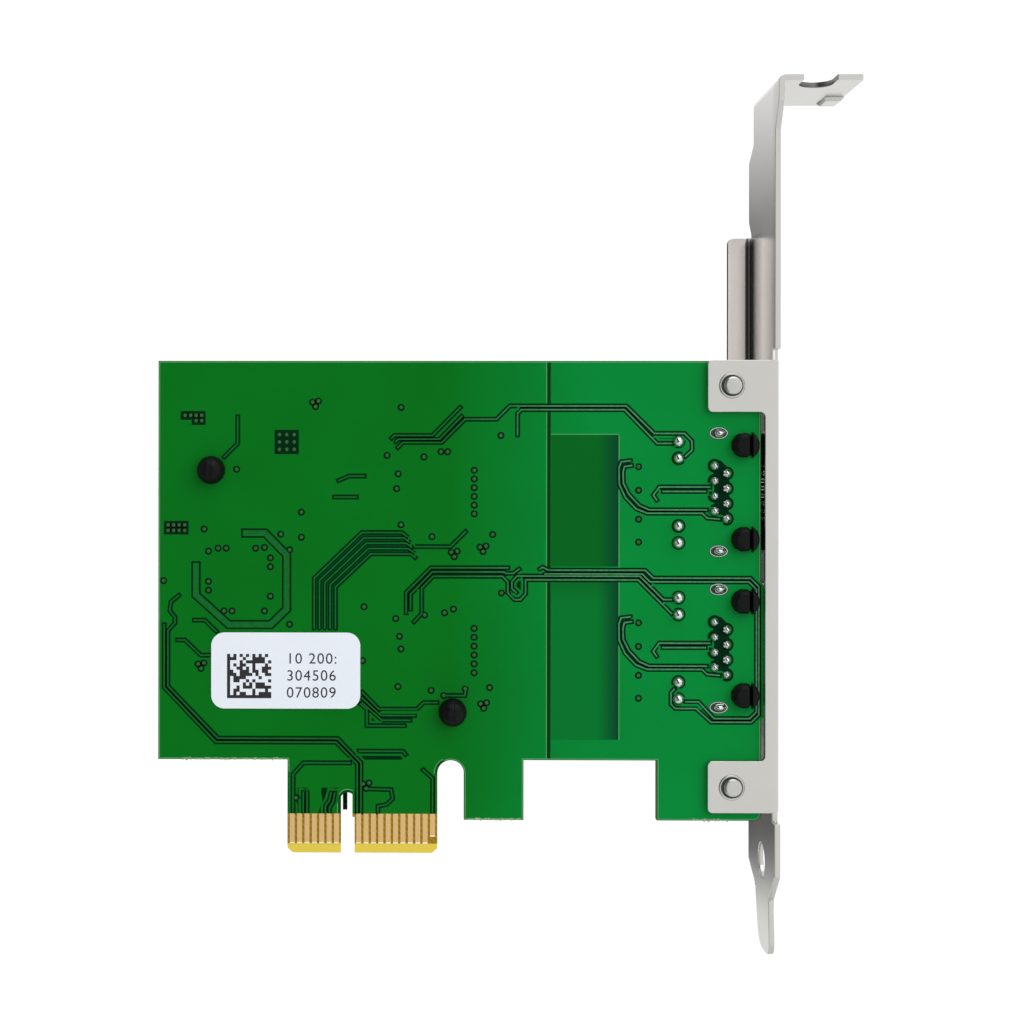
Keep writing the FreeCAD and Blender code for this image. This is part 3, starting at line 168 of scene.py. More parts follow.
def board_finish():
    """Mask over copper, the fields without copper, and bare laminate, told apart by place."""
    material, tree, shader, place = new_finish("solder_mask_and_laminate", 0.0, 0.06)
    x, y, z = add_node(tree, "ShaderNodeSeparateXYZ", {0: place}).outputs
    fine = noise(tree, place, 0.6 * mm)
    front = maths(tree, "LESS_THAN", y, 0.0)
    pour = pour_colour_and_sheen(tree, x, place)
    # bare field and slit, on the solder side only
    slit = maths(tree, "COMPARE", x, slit_x, slit_width / 2)
    bare = within(tree, x, z, bare_field)
    band = within(tree, x, z, bare_field_band)
    gap = maths(tree, "MULTIPLY", slit, maths(tree, "LESS_THAN", bare, 0.5))
    bare = maths(tree, "MULTIPLY", bare, maths(tree, "SUBTRACT", 1.0, band))
    shade = ramp(tree, x, bare_shade_from, bare_field["x"][1] - 0.1 * mm)
    bare_colour = mixed(tree, ramp(tree, z, *bare_turn), srgb(0, 97, 28), srgb(0, 114, 42))
    bare_colour = mixed(tree, shade, bare_colour, srgb(0, 64, 38))
    mask = mixed(tree, maths(tree, "MULTIPLY", bare, front), pour, bare_colour)
    mask = mixed(tree, maths(tree, "MULTIPLY", gap, front), mask, srgb(0, 50, 15))
    # the copper's edge shows as a pale line of painted highlight along the slit's left side and round the
    # bare field
    lines = [maths(tree, "COMPARE", x, slit_x - slit_width / 2 - edge_highlight / 2, edge_highlight / 2)]
    for side, across, other, reach in (("x", x, "z", z), ("z", z, "x", x)):
        along = maths(tree, "COMPARE", across, bare_field[side][1] + edge_highlight / 2, edge_highlight / 2)
        low, high = bare_field[other]
        over = maths(tree, "COMPARE", reach, (low + high) / 2, (high - low) / 2)
        lines.append(maths(tree, "MULTIPLY", along, over))
    line = maths(tree, "MAXIMUM", lines[0], maths(tree, "MAXIMUM", lines[1], lines[2]))
    line = maths(tree, "MULTIPLY", maths(tree, "MULTIPLY", line, front), 0.5)
    mask = mixed(tree, line, mask, srgb(96, 176, 110))
    # bare laminate: cut edges, and the tongue below the mask
    weave = add_node(tree, "ShaderNodeTexWave",
                     {"Vector": place, "Scale": 1 / (1.3 * mm), "Distortion": 1.5},
                     bands_direction="DIAGONAL")
    resin = mixed(tree, weave.outputs["Fac"], srgb(146, 110, 26), srgb(168, 130, 36))
    resin = mixed(tree, maths(tree, "LESS_THAN", z, bevel_top), resin, srgb(236, 212, 84))
    cut = mixed(tree, noise(tree, place, 0.25 * mm), srgb(60, 84, 40), srgb(120, 136, 84))
    normal = add_node(tree, "ShaderNodeTexCoord").outputs["Normal"]
    facing = add_node(tree, "ShaderNodeSeparateXYZ", {0: normal}).outputs[1]
    flat = maths(tree, "GREATER_THAN", maths(tree, "ABSOLUTE", facing), 0.5)
    tongue = within(tree, x, z, {"x": tongue_span, "z": (-mm, mask_edge)})
    colour = mixed(tree, flat, cut, mask)
    colour = mixed(tree, tongue, colour, resin)
    tree.links.new(colour, shader.inputs["Base Color"])
    masked = maths(tree, "MULTIPLY", flat, maths(tree, "SUBTRACT", 1.0, tongue))
    tree.links.new(spread(tree, masked, 0.7, 0.24), shader.inputs["Roughness"])
    height = maths(tree, "ADD", maths(tree, "MULTIPLY", fine, 0.05),
                   maths(tree, "SUBTRACT", 1.0, maths(tree, "MAXIMUM", gap, bare)))
    relief(tree, shader, height, 0.03 * mm)
    return material


def refinished(node, finish):
    """Give a CAD piece this finish alone."""
    cad[node].data.materials.clear()
    cad[node].data.materials.append(finish)


board_mask = board_finish()
refinished("pcb", board_mask)


def new_piece(name, vertices, faces, *materials, slots=None):
    """A mesh piece; its faces get the first material, or the one that slots numbers for each."""
    mesh = bpy.data.meshes.new(name)
    mesh.from_pydata([tuple(vertex) for vertex in vertices], [], faces)
    for material in materials:
        mesh.materials.append(material)
    if slots:
        mesh.polygons.foreach_set("material_index", slots)
    piece = bpy.data.objects.new(name, mesh)
    bpy.context.scene.collection.objects.link(piece)
    return piece


# The edges of the tabs keep a rough fringe of glass fibre where the boards were parted.
def fringe(spans, seed):
    """Ragged slivers of laminate along level edges, as (left, right, height) spans."""
    chance = random.Random(seed)
    vertices, faces = [], []
    for left, right, edge in spans:
        x = left
        while x < right:
            width = chance.uniform(0.12, 0.5) * mm
            drop = chance.uniform(0.03, 0.28) * mm * (chance.random() ** 0.5)
            torn_to = solder_face + (component_face - solder_face) * chance.uniform(0.15, 0.85)
            tip = x + width * chance.uniform(0.2, 0.8)
            start = len(vertices)
            foot = edge + chance.uniform(0.05, 0.3) * mm
            for y in (solder_face - 0.02 * mm * chance.random() - 0.01 * mm, torn_to + 0.15 * mm):
                vertices += [(x, y, foot), (x + width, y, foot), (tip, y, edge - drop)]
            faces += [tuple(start + corner for corner in face) for face in (
                (2, 1, 0), (3, 4, 5), (3, 5, 2, 0), (2, 5, 4, 1), (1, 4, 3, 0))]
            x += width * chance.uniform(0.5, 1.4)
    return vertices, faces


fibre = varied_finish("torn_fibre", (40, 92, 40), (206, 216, 184), (0.7, 0.9), 0.22, 0.02)
shelf = 12.7 * mm
tab_foot = 4.6 * mm
burrs = new_piece("parting_fringe", *fringe([
    (-22.5 * mm, -9.0 * mm, shelf), (16.3 * mm, 23.4 * mm, tab_foot), (46.6 * mm, 51.0 * mm, tab_foot),
], seed=11), fibre)
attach(burrs, "root")


# ---- Copper tracks of the solder side ----
# Etched copper under the mask, a little proud of the board. Each track lies in a dark channel
# where the pour was etched away, and the pour's edge stands up on the far side of the channel.
channel_floor = 0.24 * mm
channel_wall = 0.3 * mm
pour_lip = 0.03 * mm
pour_fall = 0.55 * mm
lift = 0.004 * mm
step_length = 0.3 * mm


def front_outlines(source, facing):
    """The outlines of a CAD node's islands on one face, as rings of (x, z), anticlockwise."""
    work = bmesh.new()
    work.from_mesh(source.data)
    bmesh.ops.remove_doubles(work, verts=work.verts, dist=0.001 * mm)
    front = {face for face in work.faces if face.normal.y * facing > 0.5}
    onward = {}
    for face in front:
        for loop in face.loops:
            if not any(other in front for other in loop.edge.link_faces if other is not face):
                onward[loop.vert.index] = loop.link_loop_next.vert
    here = {loop.vert.index: loop.vert for face in front for loop in face.loops}
    rings = []
    while onward:
        index, ahead = onward.popitem()
        ring = [here[index].co.copy()]
        while ahead.index in onward:
            ring.append(ahead.co.copy())
            ahead = onward.pop(ahead.index)
        points = np.array([(co.x, co.z) for co in ring])
        after = np.roll(points, -1, axis=0)
        area = np.sum(points[:, 0] * after[:, 1] - after[:, 0] * points[:, 1])
        rings.append(points if area > 0 else points[::-1])
    work.free()
    return rings


def outward(ring):
    """For each corner of a ring, the step that moves both its sides outward by one unit."""
    ahead = np.roll(ring, -1, axis=0) - ring
    ahead /= np.linalg.norm(ahead, axis=1)[:, None]
    normal = np.stack([ahead[:, 1], -ahead[:, 0]], axis=1)
    before = np.roll(normal, 1, axis=0)
    return (normal + before) / (1 + np.sum(normal * before, axis=1))[:, None].clip(0.3)


def gap_to(ring, points):
    """How far points lie outside a ring: negative within it."""
    start, end = ring, np.roll(ring, -1, axis=0)
    along = end - start
    offset = points[:, None, :] - start[None]
    share = np.sum(offset * along, axis=2) / np.maximum(np.sum(along * along, axis=1), 1e-12)
    nearest = start + np.clip(share, 0, 1)[:, :, None] * along
    distance = np.linalg.norm(points[:, None, :] - nearest, axis=2).min(axis=1)
    crossing = (start[None, :, 1] > points[:, None, 1]) != (end[None, :, 1] > points[:, None, 1])
    rise = np.where(np.abs(along[:, 1]) < 1e-12, 1e-12, along[:, 1])
    at = start[:, 0] + (points[:, None, 1] - start[:, 1]) / rise * along[:, 0]
    inside = np.sum(crossing & (points[:, None, 0] < at), axis=1) % 2 == 1
    return np.where(inside, -distance, distance)


def channels(rings, zones, face, facing):
    """The channel round each ring: a dark floor, then the pour's edge where no other zone lies."""
    vertices, faces, slots = [], [], []
    # each step is its reach from the ring, its height, and the material of the faces before it
    steps = [(0.0, lift, 0), (channel_floor, lift, 0), (channel_wall, pour_lip, 1), (pour_fall, 0.0, 1)]
    for index, ring in enumerate(rings):
        reach = outward(ring)
        lengths = np.linalg.norm(np.roll(ring, -1, axis=0) - ring, axis=1)
        base, push = [], []
        for i, length in enumerate(lengths):
            parts = max(1, int(length / step_length))
            following = (i + 1) % len(ring)
            for part in range(parts):
                share = part / parts
                base.append(ring[i] * (1 - share) + ring[following] * share)
                push.append(reach[i] * (1 - share) + reach[following] * share)
        base, push = np.array(base), np.array(push)
        crest = base + push * (channel_wall + 0.02 * mm)
        free = np.ones(len(base), bool)
        low, high = crest.min(axis=0) - 2 * channel_wall, crest.max(axis=0) + 2 * channel_wall
        for other, rival in enumerate(rings):
            if other == index or (rival.max(axis=0) < low).any() or (rival.min(axis=0) > high).any():
                continue
            free &= gap_to(rival, crest) > channel_wall
        for (x, z), radius in zones:
            free &= np.hypot(crest[:, 0] - x, crest[:, 1] - z) > radius
        start = len(vertices)
        for reach_out, height, _ in steps:
            place = base + push * reach_out
            raised = np.where(free, height, -lift) if height != lift else np.full(len(base), lift)
            for (x, z), rise in zip(place, raised):
                vertices.append((x, face + facing * rise, z))
        count = len(base)
        for level in range(len(steps) - 1):
            for i in range(count):
                a = start + level * count + i
                b = start + level * count + (i + 1) % count
                quad = (a, b, b + count, a + count)
                faces.append(quad if facing > 0 else quad[::-1])
                slots.append(steps[level + 1][2])
    return vertices, faces, slots


def island_boxes(source):
    """The box of each separate solid of a CAD node: (lowest corner, highest corner)."""
    work = bmesh.new()
    work.from_mesh(source.data)
    bmesh.ops.remove_doubles(work, verts=work.verts, dist=0.001 * mm)
    left = set(work.verts)
    boxes = []
    while left:
        group, edge = set(), [left.pop()]
        while edge:
            vert = edge.pop()
            group.add(vert)
            for link in vert.link_edges:
                other = link.other_vert(vert)
                if other in left:
                    left.discard(other)
                    edge.append(other)
        corners = np.array([vert.co for vert in group])
        boxes.append((corners.min(axis=0), corners.max(axis=0)))
    work.free()
    return sorted(boxes, key=lambda pair: (round(pair[0][0], 5), pair[0][2]))


track_rings = front_outlines(cad["solder_side_tracks"], -1)
via_columns = [(17.1 * mm, 46.0 * mm, 1.18 * mm, 6), (17.1 * mm, 24.5 * mm, 1.2 * mm, 6)]
via_places = [(x, z + i * pitch) for x, z, pitch, count in via_columns for i in range(count)]
jack_middles = (49.0, 27.9)
for middle in jack_middles:
    via_places += [(39.3 * mm, (middle + rise) * mm) for rise in (3.4, 0.2, -3.7, -6.8)]
for left, bottom, across, up, pitch in [(-9.3, 54.7, 3, 3, 1.0), (-24.4, 43.7, 4, 2, 0.75),
                                        (-22.1, 59.3, 4, 1, 0.75), (-20.6, 58.6, 2, 1, 0.75)]:
    via_places += [((left + i * pitch) * mm, (bottom + j * pitch) * mm)
                   for i in range(across) for j in range(up)]
for x, z in [(-4.4, 61.1), (-19.9, 25.6), (14.4, 40.8), (2.5, 9.4), (18.3, 41.5), (18.4, 20.3)]:
    via_places += [((x + dx) * mm, (z + dz) * mm) for dx, dz in ((-0.4, 0.0), (0.4, 0.15), (0.0, -0.6))]
via_places += [(x * mm, z * mm) for x, z in [
    (-15.1, 52.0), (-19.5, 43.9), (-6.3, 46.2), (-9.1, 43.2), (-6.3, 42.8), (-18.9, 40.9), (-17.6, 41.3),
    (-16.5, 41.3), (-12.5, 41.3), (-11.3, 41.4), (-10.5, 40.0), (-10.5, 38.8), (-18.9, 36.8), (-18.9, 35.6),
    (-10.5, 34.8), (-16.8, 32.8), (-15.7, 32.8), (-11.3, 32.8), (-7.9, 41.1), (-7.9, 31.0), (-25.0, 36.9),
    (7.2, 60.4), (5.3, 53.9), (10.3, 53.7), (12.6, 54.4), (13.5, 54.4), (6.8, 51.4), (6.6, 49.4),
    (20.7, 56.6), (7.2, 44.5), (11.4, 42.9), (19.6, 43.2), (10.4, 32.3), (6.5, 31.8), (7.0, 29.4),
    (7.2, 27.7), (2.2, 33.4), (13.1, 32.6), (14.3, 33.1), (6.8, 22.6), (11.3, 22.1), (13.0, 21.4),
    (15.9, 22.3), (19.2, 22.5), (20.8, 35.3), (2.0, 26.1), (-7.0, 7.5),
]]
via_ring = 0.5 * mm
via_zones = [(place, via_ring + 0.1 * mm) for place in via_places]

channel_dark = varied_finish("masked_laminate", (0, 30, 10), (0, 50, 26), (0.4, 0.5), 0.4, 0.004,
                             gloss=0.03)
vertices, faces, slots = channels(track_rings, via_zones, solder_face, -1)
track_channels = new_piece("track_channels", vertices, faces, channel_dark, board_mask, slots=slots)
track_channels.data.shade_smooth()
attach(track_channels, "root")


def track_finish():
    """Mask over a narrow track, thinner on its crown: a little paler than over the pour, partly from that
    and partly as a painted highlight, and lighter towards the bracket as a painted sheen.
    """
    material, tree, shader, place = new_finish("mask_over_tracks", 0.0, 0.08)
    x = add_node(tree, "ShaderNodeSeparateXYZ", {0: place}).outputs[0]
    fine = noise(tree, place, 0.5 * mm)
    left = mixed(tree, fine, srgb(0, 90, 26), srgb(22, 112, 46))
    right = mixed(tree, fine, srgb(22, 112, 58), srgb(92, 152, 112))
    # Painted sheen: like the pour, the tracks lighten towards the bracket.
    colour = mixed(tree, ramp(tree, x, sheen_from, slit_x + 4 * mm), left, right)
    tree.links.new(colour, shader.inputs["Base Color"])
    tree.links.new(spread(tree, fine, 0.25, 0.4), shader.inputs["Roughness"])
    relief(tree, shader, fine, 0.004 * mm)
    return material


track_mask = track_finish()
via_mask = varied_finish("mask_over_vias", (8, 74, 22), (70, 110, 58), (0.3, 0.5), 0.5, 0.004, gloss=0.2)
refinished("solder_side_tracks", track_mask)

# The pour stops short of the board's edge, further in on the contact tongue, and a pale line
# along its own edge there is a painted highlight. Between close tracks there is no pour at all.
edge_margin = 0.1 * mm
tongue_margin = 0.36 * mm
pale_line = 0.11 * mm


def setback(ring):
    """Dark margin, and a pale line of painted highlight, just inside the board's outline."""
    inward = -outward(ring)
    on_tongue = (ring[:, 1] < shelf - 0.2 * mm) & (ring[:, 0] < tongue_span[1])
    margin = np.where(on_tongue, tongue_margin, edge_margin)[:, None]
    steps = [ring + inward * 0.01 * mm, ring + inward * margin, ring + inward * (margin + pale_line)]
    vertices = [(x, solder_face - lift, max(z, mask_edge) if x < tongue_span[1] else z)
                for step in steps for x, z in step]
    count = len(ring)
    faces, slots = [], []
    for level in range(2):
        for i in range(count):
            a, b = level * count + i, level * count + (i + 1) % count
            highest = max(ring[i][1], ring[(i + 1) % count][1])
            if ring[i][0] < tongue_span[1] and highest < mask_edge + 0.05 * mm:
                continue
            faces.append((a, b, b + count, a + count))
            slots.append(level)
    return vertices, faces, slots


margin_dark = varied_finish("masked_margin", (0, 52, 18), (0, 78, 30), (0.4, 0.5), 0.5, 0.004, gloss=0.1)
# A pale line painted along the pour's edge stands for the highlight that edge catches.
pour_edge_highlight = varied_finish("pour_edge_highlight", (36, 136, 66), (104, 180, 116), (0.2, 0.3), 1.2, 0.004, gloss=0.4)
outline = max(front_outlines(cad["pcb"], -1), key=lambda ring: np.ptp(ring[:, 0]))
vertices, faces, slots = setback(outline)
pour_setback = new_piece("pour_setback", vertices, faces, margin_dark, pour_edge_highlight, slots=slots)
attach(pour_setback, "root")

bare_patches = [
    [(-7.05, 8.9), (-5.2, 8.9), (-5.0, 8.4), (-5.2, 5.4), (-7.0, 5.4), (-7.2, 8.4)],
    [(-3.5, 8.9), (-1.3, 8.9), (-1.2, 8.4), (-2.1, 7.4), (-2.6, 5.4), (-4.0, 5.4), (-3.4, 7.2),
     (-3.6, 8.3)],
    [(-9.95, 57.35), (-6.65, 57.35), (-6.65, 54.05), (-9.95, 54.05)],
    [(-24.95, 45.0), (-21.6, 45.0), (-21.6, 43.15), (-24.95, 43.15)],
    [(-22.7, 59.9), (-19.3, 59.9), (-19.3, 58.0), (-21.2, 58.0), (-21.2, 58.7), (-22.7, 58.7)],
    [(41.0, 56.9), (43.9, 57.0), (45.1, 56.6), (45.3, 56.1), (44.3, 55.8), (41.9, 55.9)],
    [(21.5, 37.9), (23.8, 37.9), (23.9, 36.2), (23.2, 35.4), (22.3, 35.4), (21.6, 36.2)],
    [(2.6, 20.6), (4.8, 18.4), (4.6, 17.7), (2.6, 17.7)],
    [(1.4, 13.4), (7.2, 13.4), (7.7, 12.9), (7.2, 12.7), (2.0, 12.7)],
]
for middle in jack_middles:
    bare_patches.append([(x, middle - 0.05 + rise) for x, rise in (
        (49.6, 4.3), (50.4, 4.3), (51.7, 3.0), (51.4, 1.9), (51.8, 0.9), (51.4, -0.1), (51.8, -1.2),
        (51.4, -2.1), (51.6, -3.4), (51.0, -4.0), (50.3, -3.2), (49.2, -2.4), (49.6, -1.2), (49.2, -0.2),
        (49.6, 1.0), (49.2, 2.0), (49.6, 3.2))])
vertices, faces = [], []
for patch in bare_patches:
    area = sum(ax * bz - bx * az for (ax, az), (bx, bz) in zip(patch, patch[1:] + patch[:1]))
    patch = patch if area > 0 else patch[::-1]
    faces.append(tuple(range(len(vertices), len(vertices) + len(patch))))
    vertices += [(x * mm, solder_face - 0.5 * lift, z * mm) for x, z in patch]
patches = new_piece("unpoured_patches", vertices, faces, channel_dark)
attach(patches, "root")


# ---- Vias ----
# Plated holes that tie the copper layers together, tented with mask: a small raised land
# with a dimple, inside a dark ring where the pour stands back.
def lathe(name, profile, sides, facing):
    """A turned mesh on the board's normal, through (radius, height, shift) steps inward."""
    vertices, faces = [], []
    for radius, height, *shift in profile:
        for i in range(sides):
            turn = 2 * math.pi * i / sides
            across = radius * math.cos(turn) + sum(shift)
            vertices.append((across, facing * height, radius * math.sin(turn)))
    for level in range(len(profile) - 1):
        for i in range(sides):
            a, b = level * sides + i, level * sides + (i + 1) % sides
            quad = (a, b, b + sides, a + sides)
            faces.append(quad[::-1] if facing > 0 else quad)
    if profile[-1][0] > 0:
        last = range((len(profile) - 1) * sides, len(profile) * sides)
        faces.append(tuple(last)[::-1] if facing > 0 else tuple(last))
    mesh = bpy.data.meshes.new(name)
    mesh.from_pydata(vertices, [], faces)
    mesh.shade_smooth()
    return bpy.data.objects.new(name, mesh)


def repeat_tree(name):
    """Geometry Nodes that put one small part at every point, turned and sized a little apart."""
    tree = bpy.data.node_groups.new(name, "GeometryNodeTree")
    face = tree.interface
    face.new_socket("Points", in_out="INPUT", socket_type="NodeSocketGeometry")
    for label, kind in (("Part", "NodeSocketObject"), ("Finish", "NodeSocketMaterial"),
                        ("Most turn", "NodeSocketVector"), ("Size change", "NodeSocketFloat"),
                        ("Seed", "NodeSocketInt")):
        face.new_socket(label, in_out="INPUT", socket_type=kind)
    face.new_socket("Pieces", in_out="OUTPUT", socket_type="NodeSocketGeometry")
    given = tree.nodes.new("NodeGroupInput").outputs
    part = add_node(tree, "GeometryNodeObjectInfo", {"Object": given["Part"]})
    turn = add_node(tree, "FunctionNodeRandomValue", {1: given["Most turn"], "Seed": given["Seed"]},
                    data_type="FLOAT_VECTOR")
    least = maths(tree, "SUBTRACT", 1.0, given["Size change"])
    most = maths(tree, "ADD", 1.0, given["Size change"])
    size = add_node(tree, "FunctionNodeRandomValue", {2: least, 3: most, "Seed": given["Seed"]})
    placed = add_node(tree, "GeometryNodeInstanceOnPoints", {
        "Points": given["Points"], "Instance": part.outputs["Geometry"],
        "Rotation": turn.outputs[0], "Scale": size.outputs[1]})
    real = add_node(tree, "GeometryNodeRealizeInstances", {0: placed.outputs[0]})
    finished = add_node(tree, "GeometryNodeSetMaterial",
                        {"Geometry": real.outputs[0], "Material": given["Finish"]})
    tree.links.new(finished.outputs[0], tree.nodes.new("NodeGroupOutput").inputs[0])
    return tree


def made_plain(piece):
    """The piece with its modifiers applied to its mesh."""
    bpy.context.view_layer.update()
    graph = bpy.context.evaluated_depsgraph_get()
    mesh = bpy.data.meshes.new_from_object(piece.evaluated_get(graph), depsgraph=graph)
    piece.modifiers.clear()
    piece.data = mesh
    return piece


repeat_nodes = repeat_tree("repeat_at_points")


def repeated(name, places, part, finish, size_change=0.0, seed=1, turned=True):
    """One mesh piece of the same small part at every (x, y, z) place."""
    piece = new_piece(name, places, [])
    modifier = piece.modifiers.new("repeat", "NODES")
    modifier.node_group = repeat_nodes
    sockets = {item.name: item.identifier for item in repeat_nodes.interface.items_tree
               if item.in_out == "INPUT"}
    modifier[sockets["Part"]] = part
    modifier[sockets["Finish"]] = finish
    modifier[sockets["Most turn"]] = (0.0, 6.28 if turned else 0.0, 0.0)
    modifier[sockets["Size change"]] = size_change
    modifier[sockets["Seed"]] = seed
    made_plain(piece)
    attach(piece, "root")
    return piece


via_land = 0.25 * mm
for face, facing, side in ((solder_face, -1, "solder"), (component_face, 1, "component")):
    places = [(x, face, z) for x, z in via_places]
    ring = lathe("via_ring_" + side, [
        (via_ring, 0.0), (via_ring * 0.96, 1.6 * lift), (0.0, 1.6 * lift)], 16, facing)
    land = lathe("via_land_" + side, [
        (via_land, lift), (via_land * 0.9, 0.035 * mm), (via_land * 0.45, 0.04 * mm),
        (via_land * 0.3, 0.02 * mm), (0.0, 0.015 * mm)], 12, facing)
    repeated("via_rings_" + side, places, ring, channel_dark)
    repeated("via_lands_" + side, places, land, via_mask)


# ---- Edge contacts ----
# Hard gold over nickel on the copper fingers of both faces, plated before the board's lower
# edge was bevelled, and a little wiped by the slot.
gold = varied_finish("hard_gold", (206, 168, 104), (236, 204, 146), (0.22, 0.42), 0.12, 0.002, 1.0, 1.5)
for node in ("edge_contacts_solder_side", "edge_contacts_component_side"):
    refinished(node, gold)

# The plating ends where the board was bevelled; a bright line there is a painted highlight.
end_line = 0.2 * mm
vertices, faces = [], []
for low, high in island_boxes(cad["edge_contacts_solder_side"]):
    start = len(vertices)
    vertices += [(x, low[1] - lift, z) for x, z in (
        (low[0], low[2]), (high[0], low[2]), (high[0], low[2] + end_line), (low[0], low[2] + end_line))]
    faces.append((start, start + 1, start + 2, start + 3))
gold_end_highlight = varied_finish("painted_gold_highlight", (250, 232, 168), (255, 248, 214), (0.4, 0.5), 0.2, 0.001, 0.5)
contact_ends = new_piece("contact_ends", vertices, faces, gold_end_highlight)
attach(contact_ends, "root")


# ---- Label ----
# White paper with rounded corners, stuck over the tracks, with a printed dot square and
# three rows of plain numbers.
label_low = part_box("address_label")[0]
paper = varied_finish("label_paper", (228, 234, 244), (238, 243, 250), (0.6, 0.75), 0.08, 0.003, gloss=0.2)
ink = varied_finish("label_ink", (14, 14, 18), (34, 34, 40), (0.5, 0.65), 0.1, 0.002)
refinished("address_label", paper)
print_face = label_low.y - 0.006 * mm
dots_across = 14
dot_square = 6.0 * mm
dots_left = label_low.x + 2.15 * mm
dots_foot = label_low.z + 1.4 * mm


def dot_square_print():
    """A square of printed cells: solid left and lower sides, a dotted top and right, and chance."""
    chance = random.Random(5)
    cell = dot_square / dots_across
    vertices, faces = [], []
    for column in range(dots_across):
        for line in range(dots_across):
            if column == 0 or line == 0:
                filled = True
            elif line == dots_across - 1:
                filled = column % 2 == 0
            elif column == dots_across - 1:
                filled = line % 2 == 1
            else:
                filled = chance.random() < 0.5
            if filled:
                left, foot = dots_left + column * cell, dots_foot + line * cell
                start = len(vertices)
                vertices += [(x, print_face, z) for x, z in (
                    (left, foot), (left + cell, foot), (left + cell, foot + cell), (left, foot + cell))]
                faces.append((start, start + 1, start + 2, start + 3))
    return vertices, faces


dots = new_piece("label_dots", *dot_square_print(), ink)
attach(dots, "root")


def printed_row(name, words, size, x, z):
    """A row of figures printed on the label, from its lower left corner."""
    text = bpy.data.curves.new(name, "FONT")
    text.body = words
    text.size = size
    text.space_character = 1.12
    shape = bpy.data.objects.new(name, text)
    bpy.context.scene.collection.objects.link(shape)
    bpy.context.view_layer.update()
    graph = bpy.context.evaluated_depsgraph_get()
    mesh = bpy.data.meshes.new_from_object(shape.evaluated_get(graph), depsgraph=graph)
    bpy.data.objects.remove(shape)
    mesh.transform(Matrix.Translation((x, print_face, z)) @ Matrix.Rotation(math.pi / 2, 4, "X"))
    mesh.materials.clear()
    mesh.materials.append(ink)
    piece = bpy.data.objects.new(name, mesh)
    bpy.context.scene.collection.objects.link(piece)
    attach(piece, "root")


figure_size = 2.05 * mm
figures_left = label_low.x + 10.2 * mm
first_row = 6.1
row_drop = 2.3
for i, words in enumerate(("10 200:", "304506", "070809")):
    row_foot = label_low.z + (first_row - row_drop * i) * mm
    printed_row(f"label_figures_{i + 1}", words, figure_size, figures_left, row_foot)


# ---- Solder joints ----
# Bright fillets of solder round the jack pins, each with the cut tip of its pin standing out;
# the shield's tails end in long filled slots.
solder = varied_finish("bright_solder", (196, 198, 200), (236, 237, 238), (0.1, 0.22), 0.6, 0.012, 1.0, 0.9)
tail_length = 2.0 * mm
lamp_pins_until = 46 * mm
joints = [((low + high) / 2, high - low) for low, high in island_boxes(cad["solder_joints"])]
tails = [(middle, size) for middle, size in joints if size[0] > tail_length]
round_joints = [(middle[0], solder_face, middle[2]) for middle, size in joints if size[0] <= tail_length]
lamp_pins = [place for place in round_joints if place[0] < lamp_pins_until]
contact_pins = [place for place in round_joints if place[0] >= lamp_pins_until]
joint_tip = [(0.0, joints[0][1][1])]


def in_mm(rows):
    """Rows of measures in millimetres, as the metres that a mesh needs."""
    return [tuple(value * mm for value in row) for row in rows]


dome = lathe("solder_dome", in_mm([
    (0.78, 0.0), (0.77, 0.09), (0.73, 0.22), (0.66, 0.38), (0.56, 0.55), (0.43, 0.7), (0.28, 0.82),
    (0.13, 0.9),
]) + joint_tip, 28, -1)
fillet = lathe("solder_fillet", in_mm([
    (0.68, 0.0), (0.66, 0.1), (0.61, 0.26), (0.53, 0.43), (0.42, 0.6), (0.3, 0.74), (0.2, 0.85),
    (0.1, 0.92),
]) + joint_tip, 28, -1)
clearing = lathe("joint_clearing", [(0.95 * mm, 0.0), (0.93 * mm, 2 * lift), (0.0, 2 * lift)], 24, -1)
lamp_joints = repeated("lamp_pin_joints", lamp_pins, dome, solder, 0.05, 3)
contact_joints = repeated("contact_pin_joints", contact_pins, fillet, solder, 0.06, 7)
joint_clearings = repeated("joint_clearings", lamp_pins + contact_pins, clearing, channel_dark, 0.02, 5)
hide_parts("solder_joints")


# The shield's tails: a tinned slot in the board, heaped with solder over the tail's end.
def heaped_slot(middle, size):
    """An oval land with a hollow round a heap of solder, long along the board."""
    x, _, z = middle
    vertices, faces, slots = [], [], []
    sides = 28
    rings = [(1.0, 0.0), (0.93, 0.07), (0.86, 0.07), (0.78, 0.02), (0.6, 0.02), (0.5, 0.22), (0.4, 0.42),
             (0.26, 0.58), (0.1, 0.66)]
    for share, height in rings:
        for i in range(sides):
            turn = 2 * math.pi * i / sides
            # the heap inside the hollow is uneven and sits a little off the middle
            reach = share * (1 + 0.06 * math.sin(3 * turn + 900 * z) * (share < 0.7)) / 2
            drift = 0.2 * mm * (share < 0.65)
            vertices.append((x + drift + size[0] * reach * math.cos(turn), solder_face - height * mm,
                             z + size[2] * reach * math.sin(turn)))
    for level in range(len(rings) - 1):
        for i in range(sides):
            a, b = level * sides + i, level * sides + (i + 1) % sides
            faces.append((a, b, b + sides, a + sides))
            # The land's outer edge and the hollow round the heap take the dark finish: painted shade.
            slots.append(1 if level in (0, 2, 3) else 0)
    faces.append(tuple(range((len(rings) - 1) * sides, len(rings) * sides)))
    return vertices, faces, slots + [0]


